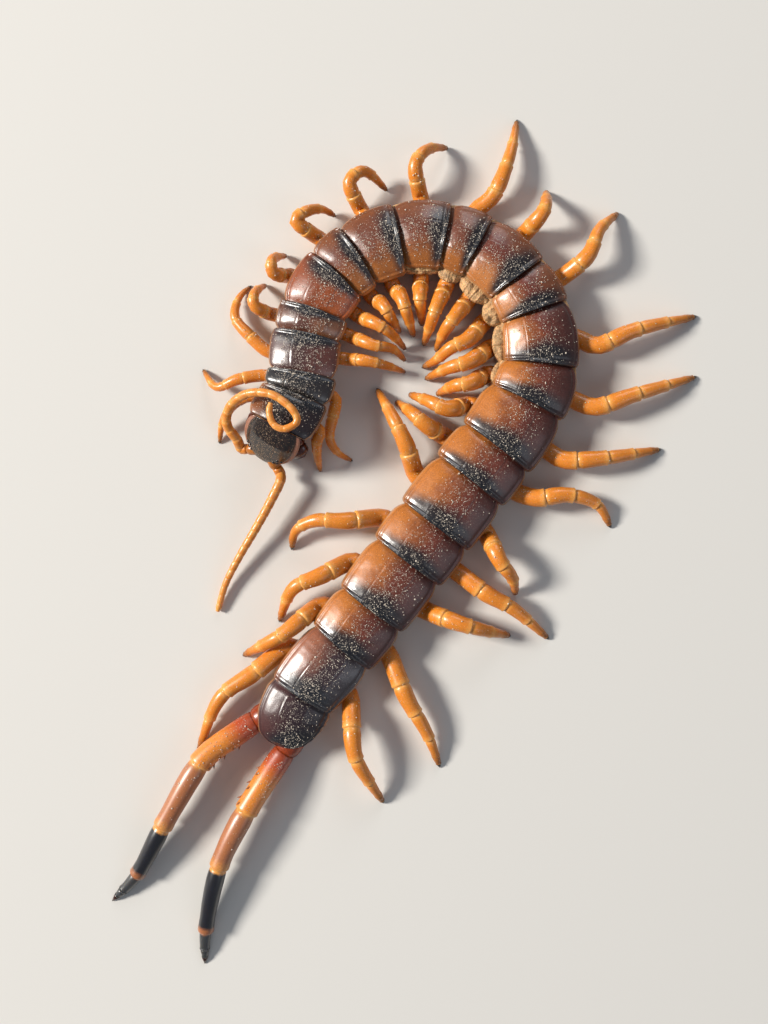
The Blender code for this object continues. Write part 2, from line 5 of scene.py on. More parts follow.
import bmesh
import bpy
import numpy as np
from bpy.props import FloatProperty, FloatVectorProperty, IntProperty, PointerProperty
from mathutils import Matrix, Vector


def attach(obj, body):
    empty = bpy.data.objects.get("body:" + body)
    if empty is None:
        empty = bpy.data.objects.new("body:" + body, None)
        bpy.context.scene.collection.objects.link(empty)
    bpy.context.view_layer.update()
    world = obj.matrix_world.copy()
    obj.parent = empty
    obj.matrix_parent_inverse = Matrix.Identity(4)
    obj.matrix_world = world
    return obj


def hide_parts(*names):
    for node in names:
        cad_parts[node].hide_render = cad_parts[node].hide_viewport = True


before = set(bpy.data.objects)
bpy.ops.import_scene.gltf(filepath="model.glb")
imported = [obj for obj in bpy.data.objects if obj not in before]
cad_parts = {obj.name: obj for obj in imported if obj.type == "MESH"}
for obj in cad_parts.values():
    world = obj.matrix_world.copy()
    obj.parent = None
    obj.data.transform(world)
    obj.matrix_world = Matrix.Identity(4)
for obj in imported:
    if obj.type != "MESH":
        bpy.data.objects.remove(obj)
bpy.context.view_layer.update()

bl_info = {
    "name": "Giant centipede",
    "version": (1, 0, 0),
    "blender": (4, 5, 0),
    "location": "3D View > Sidebar > Centipede",
    "description": "Builds a giant centipede from its plates, legs, feelers and claws",
    "category": "Add Mesh",
}

# Units. Shapes are in millimetres, on a plan whose middle is moved to the origin.
MM = 0.001
PER_MM = 1000.0
GAP = 0.3
HEADING_SPAN = 0.4
PLAN_CENTRE = (2.836, -4.035)
UP = np.array([0.0, 0.0, 1.0])
# Plus one on the animal's left, minus one on its right.
SIDES = {"left": 1, "right": -1}

# The line of the back, seen from above: a short neck, a round hook, a straight run and a bent tail.
NECK_PLAN = ((-13.9, 11.2), (-12.0, 14.9), (-10.9, 18.3))
HOOK_CENTRE = (5.0, 21.4)
HOOK_RADIUS = 15.5
HOOK_ANGLES = (175, -37)
HOOK_STEP = -26.5
TAIL = ((10.4, 2.9), (2.8, -7.0), (-5.0, -17.2), (-10.6, -24.0), (-12.4, -27.6), (-12.6, -31.6))

# The trunk has 21 segments with legs. Long and short back plates follow each other.
SEGMENTS = 21
LONG_PLATES = (1, 3, 5, 7, 8, 10, 12, 14, 16, 18, 20)
LONG_PLATE = (4.7, 0.18)
SHORT_PLATE = (2.6, 0.20)
END_PLATE = 7.2
SEGMENTS_PER_LENGTH = 3
HALF_WIDTH_AT = (1, 5, 9, 13, 17, 20, 21)
HALF_WIDTH = (4.6, 4.75, 5.0, 5.75, 5.75, 4.9, 4.6)
BACK_HEIGHT_AT = (1, 4, 12, 18, 21)
BACK_HEIGHT = (4.7, 5.4, 6.2, 6.0, 5.6)
RIM_SHARE = 0.64
FRONT_LIFT = 4.5
LIFT_RUN = 20.0

# Back plates: how wide and how high each row across the plate is, from its front to its rear.
PLATE_TUCK = 0.45
PLATE_STEPS = (0.0, 0.05, 0.12, 0.22, 0.36, 0.5, 0.65, 0.8, 0.9, 1.0)
PLATE_WIDTH = (0.86, 0.90, 0.945, 0.98, 0.997, 1.003, 1.005, 1.0, 0.99, 0.965)
PLATE_RISE = (-0.75, -0.52, -0.32, -0.12, 0.03, 0.09, 0.1, 0.07, 0.04, 0.08)
END_STEPS = (0.0, 0.12, 0.45, 0.7, 0.86, 0.96, 1.0)
END_WIDTH = (0.93, 0.99, 1.0, 0.9, 0.68, 0.42, 0.2)
PLATE_THICKNESS = 0.24
# Lines of a plate's mesh: shares of its width near its edge and off a groove, and millimetres off its rear.
PLATE_LINES = (0.86, 0.88, 0.9, 0.92, 0.94, 0.955, 0.97, 0.985, 1.0)
GROOVE_LINES = (-0.05, -0.03, -0.015, 0.0, 0.015, 0.03, 0.05, 0.07)
REAR_LINES = (0.0, 0.06, 0.12, 0.2, 0.28, 0.36, 0.46, 0.56, 0.68, 0.8, 0.95)
# How round the back is across, and how far the last plate falls towards its end.
VAULT_POWER = 2.6
END_DROP = 1.4
# The size of the waves in the plates' unevenness, and how much of it each makes.
PLATE_WAVES = ((2.6, 1.0), (0.8, 0.35))
CORNER_RADIUS = 0.55
SUTURE_SIDE = 0.34
# How the sides of a plate fall away outside its grooves, and the share of that in its even vault.
SLOPE_WEIGHT = 0.55
SLOPE_SHARES = (0.0, 0.12, 0.22, 0.34, 0.9, 0.97, 1.0)
SLOPE_HEIGHTS = (1.0, 0.993, 0.965, 0.90, 0.20, 0.09, 0.0)
RIM_BEAD_SIDE = 0.955
# On the inside of the bend the plates leave the soft flank in sight, and it swells out.
SQUEEZED = {8: 0.86, 9: 0.80, 10: 0.76, 11: 0.77, 12: 0.80, 13: 0.88}
SWELLING = {8: 0.16, 9: 0.24, 10: 0.28, 11: 0.27, 12: 0.22, 13: 0.15}
# The lower half of a flank's section: shares of the half width, and heights over the floor.
FLANK_FOOT = (
    (0.0, 0.12), (0.3, 0.12), (0.46, 0.14), (0.58, 0.34), (0.66, 0.78), (0.73, 1.3), (0.76, 1.9), (0.79, 2.5),
)
# Belly plates: how wide they are, where their two grooves are, and how far short of their segment they stop.
BELLY_SHARE = 0.63
BELLY_GROOVE = 0.42
BELLY_THICKNESS = 0.3
BELLY_FRONT_GAP = 0.2
BELLY_REAR_GAP = 0.12
LAST_BELLY_GAP = 1.9

# Head, carried nose down and turned a little to its right.
HEAD_PITCH = math.radians(50)
HEAD_YAW = math.radians(-5)
HEAD_LENGTH = 7.0
HEAD_HALF_WIDTH = 4.0
HEAD_HALF_THICKNESS = 1.25
HEAD_HINGE_HEIGHT = 8.0
NECK_SHARE = 0.32
# The dark shield leaves a pale edge of the face in sight at its sides and front.
SHIELD_SHARE = 0.88
SHIELD_REACH = 0.93
SHIELD_THICKNESS = 0.26
# How far the face bulges above and below its middle, and how boxy it is.
FACE_RISE = 0.38
FACE_DROP = 0.98
FACE_POWER = 0.75
# Where feelers leave the head and the point they point away from: ahead, out and above.
FEELER_ROOT = (6.75, 2.15, 0.1)
FEELER_AXIS = (5.7, 0.9, 0.05)
EYE_RADIUS = 0.24
EYE_SUNK = 0.1
# Each eye: its share of the head's length and of its half width.
EYES = ((0.72, 0.90), (0.81, 0.86), (0.71, 0.72), (0.80, 0.66))

HEAD_STEPS = (0.0, 0.06, 0.12, 0.2, 0.35, 0.5, 0.6, 0.7, 0.8, 0.86, 0.92, 0.96, 1.0)
HEAD_WIDTHS = (0.86, 0.91, 0.95, 0.98, 1.0, 0.975, 0.93, 0.85, 0.74, 0.64, 0.5, 0.39, 0.26)

# A profile has pairs: a place along a part, and the share of its radius there.
SOCKET_DEPTH = 2.0
SOCKET_PROFILE = ((0.0, 0.8), (0.5, 0.98), (0.8, 1.02), (0.92, 0.98), (1.0, 0.9), (1.06, 0.74))

# The poison claws and the plate that carries them lie under the head.
FANG_DEPTH = -2.7
FANG_RADIUS = 0.95
# Where the claws leave their plate and the point they point away from: ahead and out.
FANG_ROOT = (3.4, 3.2)
FANG_AXIS = (2.4, 2.3)
FANG_BENDS = ((4.9, 3.8), (6.0, 3.0), (6.5, 1.8), (6.6, 0.5))
FANG_PROFILE = (
    (-0.03, 0.70), (0.03, 0.86), (0.12, 0.97), (0.25, 1.0), (0.38, 0.96), (0.43, 0.88), (0.445, 0.74),
    (0.47, 0.82), (0.52, 0.80), (0.535, 0.66), (0.56, 0.74), (0.60, 0.70), (0.615, 0.58), (0.66, 0.60),
    (0.72, 0.52),
)
FANG_TIP_PROFILE = ((0.70, 0.50), (0.76, 0.48), (0.84, 0.37), (0.91, 0.27), (0.96, 0.18), (1.0, 0.07))
FANG_JOINT_PROFILE = ((0.0, 0.8), (0.6, 0.9), (0.85, 0.92), (0.95, 0.86), (1.08, 0.7))
# Rows of the claws' plate: how far ahead, half its width and half its thickness.
CLAW_PLATE_ROWS = (
    (-1.2, 3.4, 0.9), (-0.3, 3.55, 1.0), (0.6, 3.6, 1.05), (1.6, 3.5, 1.05), (2.6, 3.3, 1.0),
    (3.3, 2.85, 0.92), (3.9, 2.3, 0.8), (4.2, 1.9, 0.68), (4.4, 1.5, 0.55),
)
TEETH = 4
TOOTH_RADIUS = 0.16
# The foot and the tip of the first tooth, ahead, out and above, and how far ahead and out each next one is.
TOOTH_ENDS = (((4.2, 0.25, 0.1), (0.0, 0.3)), ((4.72, 0.24, 0.05), (-0.05, 0.29)))

# The left palp: points ahead, out and above in the frame of the head. Each article has a start, an end
# and a radius at both.
PALP = ((3.6, 1.5, -1.35), (4.5, 1.55, -1.75), (5.3, 1.15, -1.85), (5.6, 0.35, -1.8))
PALP_RADIUS = 0.4
PALP_ARTICLES = ((0.0, 0.36, 1.0, 0.95), (0.36, 0.7, 0.9, 0.85), (0.7, 1.0, 0.8, 0.45))

# Walking legs: where they leave the flank, their thickness and their arch.
LEG_ROOT_SHARE = 0.86
LEG_ROOT_HEIGHT_SHARE = 0.27
LEG_LEVEL = 1.7
LEG_STUB = 0.9
LEG_SPLAY = 1.4
HIP_DEPTH = 2.6
LAST_HIP_DEPTH = 4.2
LEG_LENGTH = (11.5, 0.35)
LEG_RADIUS_AT = (1, 6, 12, 20)
LEG_RADIUS = (0.85, 1.12, 1.33, 1.38)
LEG_ARCH = (1.7, 3.3)
TIP_HEIGHT = 0.1
LEG_ROUNDNESS = 0.95
# Each article: where it starts and ends along the leg, and its radius at both ends.
LEG_ARTICLES = (
    (-0.02, 0.295, 0.96, 0.99), (0.295, 0.525, 0.93, 0.84), (0.525, 0.745, 0.74, 0.66),
    (0.745, 0.905, 0.54, 0.44), (0.905, 0.966, 0.40, 0.30),
)
# How an article swells: the share of the way along it, and the parts of its first and last radius there.
NECK = 0.88
SWELL = (
    (0.03, 0.92, 0.0), (0.08, 0.96, 0.0), (0.18, 1.0, 0.0), (0.34, 0.67, 0.34), (0.55, 0.4, 0.59),
    (0.75, 0.0, 0.97), (0.88, 0.0, 0.98), (0.95, 0.0, 1.01),
)
HIP_PROFILE = (
    (0.0, 0.55), (0.2, 0.75), (0.45, 0.98), (0.7, 1.04), (0.86, 1.02), (0.94, 0.98), (0.985, 0.93),
    (1.05, 0.8),
)
LAST_HIP_PROFILE = (
    (0.0, 0.6), (0.25, 0.85), (0.5, 1.0), (0.75, 1.02), (0.9, 0.97), (0.97, 0.9), (1.04, 0.76),
)
SPUR_PROFILE = ((0.0, 1.0), (0.35, 0.8), (0.7, 0.48), (0.92, 0.2), (1.0, 0.05))
LEG_GRAINS = 34
LEG_DUST_REACH = 0.84
# The two spurs at a claw: their place along the leg, their thickness, and how far ahead and aside they reach.
SPUR_PLACE = 0.952
SPUR_RADIUS = 0.07
SPUR_SIDE = 0.16
SPUR_REACH = (0.42, 0.12, 0.02)
SPUR_HEIGHTS = (0.12, 0.08)
CLAW_PROFILE = ((0.955, 0.22), (0.965, 0.25), (0.978, 0.20), (0.99, 0.13), (1.0, 0.05))
# The plan of each walking leg after its root: knee, further bends if any, and the claw on the floor.
LEG_PLANS = {"right": (
    ((-20.0, 14.6), (-21.9, 12.2), (-22.6, 9.4)),
    ((-19.6, 17.8), (-22.6, 16.9), (-24.9, 19.6)),
    ((-17.8, 23.5), (-20.2, 26.4), (-19.8, 29.2), (-18.2, 31.1)),
    ((-17.3, 27.6), (-17.3, 29.6), (-16.2, 31.2)),
    ((-14.8, 32.0), (-14.9, 34.0), (-13.4, 35.2)),
    ((-11.8, 38.9), (-10.1, 40.4), (-8.3, 41.0), (-6.6, 40.6)),
    ((-4.6, 44.0), (-2.7, 45.7), (0.5, 44.1)),
    ((4.2, 46.4), (6.1, 48.9), (8.8, 50.0)),
    ((14.6, 42.6), (17.0, 48.2), (18.3, 53.9)),
    ((21.2, 40.0), (22.3, 44.0)),
    ((27.3, 34.3), (29.1, 38.1), (32.2, 41.1)),
    ((28.7, 22.5), (33.4, 24.4), (43.0, 26.9)),
    ((28.4, 14.2), (33.4, 15.7), (43.0, 18.6)),
    ((24.2, 7.1), (28.9, 7.2), (38.1, 8.6)),
    ((20.7, 1.9), (24.8, 2.3), (29.0, 1.0), (31.2, -2.2)),
    ((15.5, -6.6), (17.3, -8.9), (18.1, -11.4)),
    ((13.8, -11.0), (17.5, -13.1), (22.7, -17.5)),
    ((11.8, -15.4), (17.4, -17.0)),
    ((3.0, -25.0), (5.8, -30.0), (7.7, -35.1)),
    ((-3.9, -32.5), (-2.0, -36.4), (0.0, -40.0)),
), "left": (
    ((-8.95, 9.5), (-9.0, 7.5), (-8.7, 5.5)),
    ((-6.8, 13.0), (-7.3, 10.9), (-7.2, 9.4), (-6.2, 8.0), (-4.3, 7.0)),
    ((-1.6, 20.1), (3.0, 19.2)),
    ((-1.4, 22.3), (1.2, 22.0), (3.0, 20.7)),
    ((-2.2, 25.8), (0.9, 24.0), (3.0, 22.3)),
    ((-0.6, 28.3), (0.6, 26.5), (2.2, 24.6)),
    ((2.1, 29.2), (3.1, 26.5), (4.1, 24.0)),
    ((4.8, 28.4), (5.2, 25.6)),
    ((6.8, 26.8), (6.0, 24.5), (5.4, 22.8)),
    ((9.6, 26.2), (8.1, 24.2), (7.1, 22.0)),
    ((11.3, 23.1), (9.0, 22.0), (6.9, 20.5), (5.2, 19.8)),
    ((11.4, 20.1), (8.6, 19.3), (5.6, 18.2)),
    ((11.6, 17.25), (9.3, 16.9), (7.2, 16.1)),
    ((8.4, 13.8), (5.8, 15.0), (3.4, 16.2)),
    ((5.5, 11.7), (3.4, 13.6), (1.6, 15.2)),
    ((2.9, 9.1), (1.3, 12.4), (-1.0, 17.0)),
    ((-5.2, -1.2), (-9.5, -1.2), (-12.0, -2.6), (-12.7, -5.2)),
    ((-8.6, -8.6), (-12.2, -10.3), (-14.4, -15.1)),
    ((-13.6, -16.4), (-16.6, -18.1), (-19.4, -19.75)),
    ((-17.8, -21.9), (-22.1, -25.1), (-25.6, -33.1)),
)}

# The last pair of legs trails behind and is much stouter.
END_LEG_PLANS = {
    "left": ((-20.4, -30.3), (-24.0, -32.9), (-29.4, -41.6), (-33.7, -49.4), (-37.3, -53.4)),
    "right": ((-15.6, -35.6), (-18.3, -39.8), (-22.1, -47.4), (-24.3, -57.1), (-24.6, -62.0)),
}
END_LEG_ROOTS = {"left": (-17.3, -28.3), "right": (-13.4, -32.4)}
END_LEG_RADIUS = 1.75
END_LEG_ROOT_HEIGHT = 2.0
END_LEG_ARCH = 1.9
END_LEG_JOINTS = {"left": (0.284, 0.587, 0.832), "right": (0.287, 0.547, 0.844)}
END_LEG_FOOT = (0.93, 0.968)
# Its spines: the rows' places along it, how far each of a row points up and stands out, and the step between.
SPINE_ROWS = (0.10, 0.17, 0.24)
SPINE_WAYS = ((0.0, 0.24), (0.62, 0.132))
SPINE_STEP = 0.5
SPINE_FOOT = 0.8
SPINE_LEAN = 0.55
SPINE_RADIUS = 0.19
LAST_CLAW_PROFILE = ((0.962, 0.22), (0.972, 0.24), (0.985, 0.15), (1.0, 0.05))

# Feelers: plan and height of the points that each passes.
FEELERS = {"right": (
    (-19.7, 9.7, 3.7), (-20.8, 11.4, 4.9), (-20.7, 12.9, 6.0), (-19.8, 14.2, 7.1), (-18.0, 15.2, 8.4),
    (-16.5, 15.4, 9.1), (-14.5, 15.1, 9.8), (-12.8, 14.1, 10.2), (-11.5, 12.8, 10.4), (-11.1, 11.6, 10.4),
    (-12.1, 10.8, 10.3), (-13.1, 10.65, 10.2), (-14.2, 11.3, 10.1), (-14.7, 12.8, 10.1), (-14.5, 14.0, 10.1),
), "left": (
    (-13.9, 4.4, 3.0), (-15.2, 1.6, 2.9), (-17.3, -2.2, 2.5), (-19.6, -6.0, 1.8), (-21.6, -9.8, 1.1),
    (-22.8, -13.6, 0.5),
)}
FEELER_RADIUS = (0.74, 0.42)
FEELER_ARTICLES = 18
# The articles from here on have no paler joints.
FEELER_RINGED = 14
FEELER_SWELL = (
    (0.03, 0.92), (0.12, 0.965), (0.3, 0.99), (0.55, 1.0), (0.8, 1.0), (0.93, 0.985), (0.99, 0.94),
)

# The segments with breathing holes, high on the flank.
SPIRACLES = (3, 5, 8, 10, 12, 14, 16, 18, 20)
SPIRACLE_PLACE = 0.78
SPIRACLE_SHARE = 0.77
SPIRACLE_HEIGHT = 2.3
SPIRACLE_RADIUS = 0.32
SPIRACLE_DEPTH = 0.5
SPIRACLE_RISE = 0.2
SLIT_RISE = 0.215
SLIT_SHARE = 0.6
SPIRACLE_RIM = ((0.0, 0.9), (0.7, 1.0), (0.9, 0.96), (0.98, 0.84), (1.0, 0.66))
SLIT_PROFILE = ((0.0, 1.0), (0.96, 1.0), (1.0, 0.8))

# The tones of the back plates: the segments that have each, and the colours of the middle and of the sides.
PLATE_TONES = {
    # The first plate's side colour is dark as painted shade on its left; its right side takes first_right.
    "first": ((1,), "1d1a1c", "302225"),
    "black": ((2,), "1d1a1c", "2b2322"),
    "maroon": ((3,), "4a2a28", "6c3a2e"),
    "umber": ((4,), "623629", "8f5a38"),
    "scarlet": ((5,), "8a4526", "b65c2a"),
    "clay": (range(6, 10), "74402e", "a8642c"),
    "rust": ((10, 11), "703628", "b9743c"),
    "brick": (range(12, 20), "703628", "b96d28"),
    "plum": ((20,), "3c262a", "96583a"),
    "violet": ((21,), "2e1e24", "4a2826"),
}
OTHER_COLOURS = {
    "first_right": ("9a5c34", "Right side of the first back plate"),
    "band": ("14161c", "Blue-black band along the rear of each back plate"),
    "rim": ("b9875a", "Thin pale edge at the sides of each back plate"),
    "membrane": ("dcae7a", "Soft granular skin of the flanks"),
    "belly": ("b4713c", "Plates under the body"),
    "leg": ("e08628", "Articles of the legs and feelers"),
    "joint": ("eaa14c", "Paler ends of the articles"),
    "claw": ("3a1c12", "Leg claws"),
    "head": ("1c1614", "Shield of the head"),
    "face": ("a5725c", "Pinkish-brown underside and edge of the head"),
    "eye": ("0b0b0d", "Simple eyes"),
    "fang": ("5a2415", "Poison claws and their plate"),
    "fang_tip": ("120a09", "Points of the poison claws"),
    "end_root": ("b8491a", "First article of a last leg"),
    "end_middle": ("b06c40", "Second article of a last leg"),
    "end_black": ("15131a", "Third article of a last leg"),
    "end_foot": ("3a3a3a", "Foot of a last leg"),
    "dust": ("e4d6c4", "Grains of dust and sand on the back"),
    "head_dust": ("a98f74", "Browner and finer dust on the head"),
    "floor": ("d9d6d0", "Studio floor"),
    "sky": ("c3cddc", "Soft light from all round"),
}

# The plates behind the head are the glossiest, with one near the tail.
GLOSSY_TONES = ("black", "maroon", "umber", "plum")

# The rear plates have painted shade on the animal's right: their right side is mixed towards the blue-black of
# the band.
RIGHT_SHADE_TONES = ("brick", "plum", "violet")

# Typical indices of refraction, and the sizes of the patterns and the reach of light inside, in millimetres.
CHITIN_IOR = 1.54
SKIN_IOR = 1.45
PAPER_IOR = 1.45
MOTTLE = 2.2
PLATE_GRAIN = 0.14
FILM_GRAIN = 0.22
SKIN_GRAIN = 0.2
SKIN_CLOUD = 0.9
LIMB_GRAIN = 0.2
LIMB_FILM = 0.16
HEAD_FILM = 0.2
SOFT_DEPTH = 0.4
LIMB_DEPTH = 0.6

# The surface detail that a user can change, in millimetres.
DETAIL_SIZES = {
    "suture_depth": (0.03, "Depth of the two fine grooves along each back plate"),
    "suture_width": (0.13, "Half the width of those grooves"),
    "rim_bead": (0.10, "Height of the raised bead along the sides of a back plate"),
    "rear_ridge": (0.14, "Height of the raised ridge along the rear of a back plate"),
    "unevenness": (0.05, "How far the plates depart from a smooth curve"),
    "flank_folds": (0.13, "Depth of the folds in the soft flank"),
    "grain": (0.053, "Usual half size of a grain of dust"),
}
GRAIN_COUNTS = {
    "back_grains": (340, "Grains of dust per back plate"),
    "leg_grains": (170, "Grains of dust per last leg"),
    "head_grains": (1000, "Grains of dust on the head"),
}

# How widely the dust lies over a plate, by the number of its segment, and the plates that have less.
DUST_SPREAD_AT = (1, 3, 11, 13)
DUST_SPREAD = (0.55, 0.42, 0.42, 0.3)
THIN_DUST_PLATES = (12, 13, 14, 15, 16)
LONG_DUST = 1.5
SHORT_DUST = 0.8
THIN_DUST = 0.75
HEAD_GRAIN_SHARE = 0.68
GRAIN_VARIETY = 0.35
# How far a grain's middle stands over the surface, as a share of its half size.
GRAIN_STAND = 0.25
PLATE_DUST_SEED = 400
LEG_DUST_SEED = 600
HEAD_DUST_SEED = 11
END_LEG_DUST_SEEDS = {"left": 21, "right": 22}

# The camera looks straight down from the height the photo was taken at.
CAMERA_HEIGHT = 145.0
PIXEL = 0.1375
PHOTO_LONG_SIDE = 1024
SENSOR = 36.0
FLOOR_SIZE = 900.0
SKY_STRENGTH = 0.3
# Each lamp's place and width in millimetres, its power in watts and its colour.
LAMPS = {
    "key": ((-1050, 250, 700), 260, 25.5, (1.0, 0.96, 0.9)),
    "fill": ((780, -480, 780), 600, 1.3, (0.86, 0.91, 1.0)),
    "back": ((180, 990, 480), 400, 2.2, (0.96, 0.97, 1.0)),
}


def linear(hex_colour):
    """A hex colour as linear red, green, blue and alpha."""
    channels = [int(hex_colour[i:i + 2], 16) / 255 for i in (0, 2, 4)]
    return [c / 12.92 if c <= 0.04045 else ((c + 0.055) / 1.055) ** 2.4 for c in channels] + [1.0]


def label(name):
    """What the panel calls a setting."""
    return name.replace("_", " ").capitalize()


def colour_property(name, hex_colour, description):
    """A colour that a user can change."""
    return FloatVectorProperty(
        name=label(name), description=description, default=linear(hex_colour), size=4, subtype="COLOR",
        min=0.0, max=1.0,
    )


def length_property(name, millimetres, description):
    """A length that a user can change, kept in metres."""
    return FloatProperty(
        name=label(name), description=description, default=millimetres * MM, min=0.0, subtype="DISTANCE",
        unit="LENGTH", precision=5,
    )


def count_property(name, count, description):
    """A count that a user can change."""
    return IntProperty(name=label(name), description=description, default=count, min=0)


def plate_colours():
    """The colours of the back plates: a middle and a flank for each tone."""
    rows = {}
    for tone, (_, middle, flank) in PLATE_TONES.items():
        rows[f"{tone}_middle"] = (middle, f"Middle of the back plates of {tone} tone")
        rows[f"{tone}_flank"] = (flank, f"Sides of the back plates of {tone} tone")
    return rows


class CentipedeSizes(bpy.types.PropertyGroup):
    """The sizes of the surface detail and the counts of grains."""

    __annotations__ = {name: length_property(name, *row) for name, row in DETAIL_SIZES.items()}
    __annotations__.update((name, count_property(name, *row)) for name, row in GRAIN_COUNTS.items())


class CentipedeColours(bpy.types.PropertyGroup):
    """The colours of the animal and of the stage."""

    __annotations__ = {
        name: colour_property(name, *row) for name, row in {**plate_colours(), **OTHER_COLOURS}.items()
    }


def sizes():
    """The sizes as numbers in millimetres."""
    kept = bpy.context.scene.centipede_sizes
    return {name: getattr(kept, name) * PER_MM for name in DETAIL_SIZES}


def tint(name):
    """A colour of the animal as a plain list."""
    return list(getattr(bpy.context.scene.centipede_colours, name))


def darker(colour, share):
    """The same hue with less light."""
    return [channel * share for channel in colour[:3]] + [1.0]


def blend(first, second, share):
    """A colour between two others."""
    return [a + (b - a) * share for a, b in zip(first, second)]


def feed(tree, node, inputs):
    """Gives a node its inputs: values are set, sockets are linked, and nodes by their first output in use."""
    for key, value in inputs.items():
        if isinstance(value, bpy.types.Node):
            value = next(output for output in value.outputs if output.enabled)
        if isinstance(value, bpy.types.NodeSocket):
            tree.links.new(value, node.inputs[key])
        else:
            node.inputs[key].default_value = value


def add_node(tree, kind, inputs=None, stops=(), **settings):
    """Adds a shader node with its settings and inputs. Stops are places and colours, or shares, of a ramp."""
    node = tree.nodes.new("ShaderNode" + kind)
    for name, value in settings.items():
        setattr(node, name, value)
    feed(tree, node, inputs or {})
    if stops:
        ramp = node.color_ramp
        while len(ramp.elements) < len(stops):
            ramp.elements.new(1.0)
        for element, (place, colour) in zip(ramp.elements, stops):
            element.position = place
            element.color = colour if isinstance(colour, (list, tuple)) else (colour, colour, colour, 1.0)
    return node


def new_finish(name, inputs):
    """A material, its tree and its principled shader. The tree is None if the material is there already."""
    made = bpy.data.materials.get(name)
    if made:
        return made, None, None
    made = bpy.data.materials.new(name)
    made.use_nodes = True
    shader = made.node_tree.nodes["Principled BSDF"]
    feed(made.node_tree, shader, inputs)
    return made, made.node_tree, shader


def coordinates(tree):
    """Where a point is on the object, across its piece and along its piece."""
    where = add_node(tree, "TexCoord")
    place = add_node(tree, "SeparateXYZ", {"Vector": where.outputs["UV"]})
    return where.outputs["Object"], place.outputs["X"], place.outputs["Y"]


def grain_height(tree, where, size, depth, shader):
    """Fine relief of the given grain size and depth, in millimetres."""
    noise = add_node(tree, "TexNoise", {"Vector": where, "Scale": PER_MM / size, "Detail": 3.0})
    bump = add_node(tree, "Bump", {"Height": noise, "Distance": depth * MM, "Strength": 1.0})
    feed(tree, shader, {"Normal": bump})
    return noise


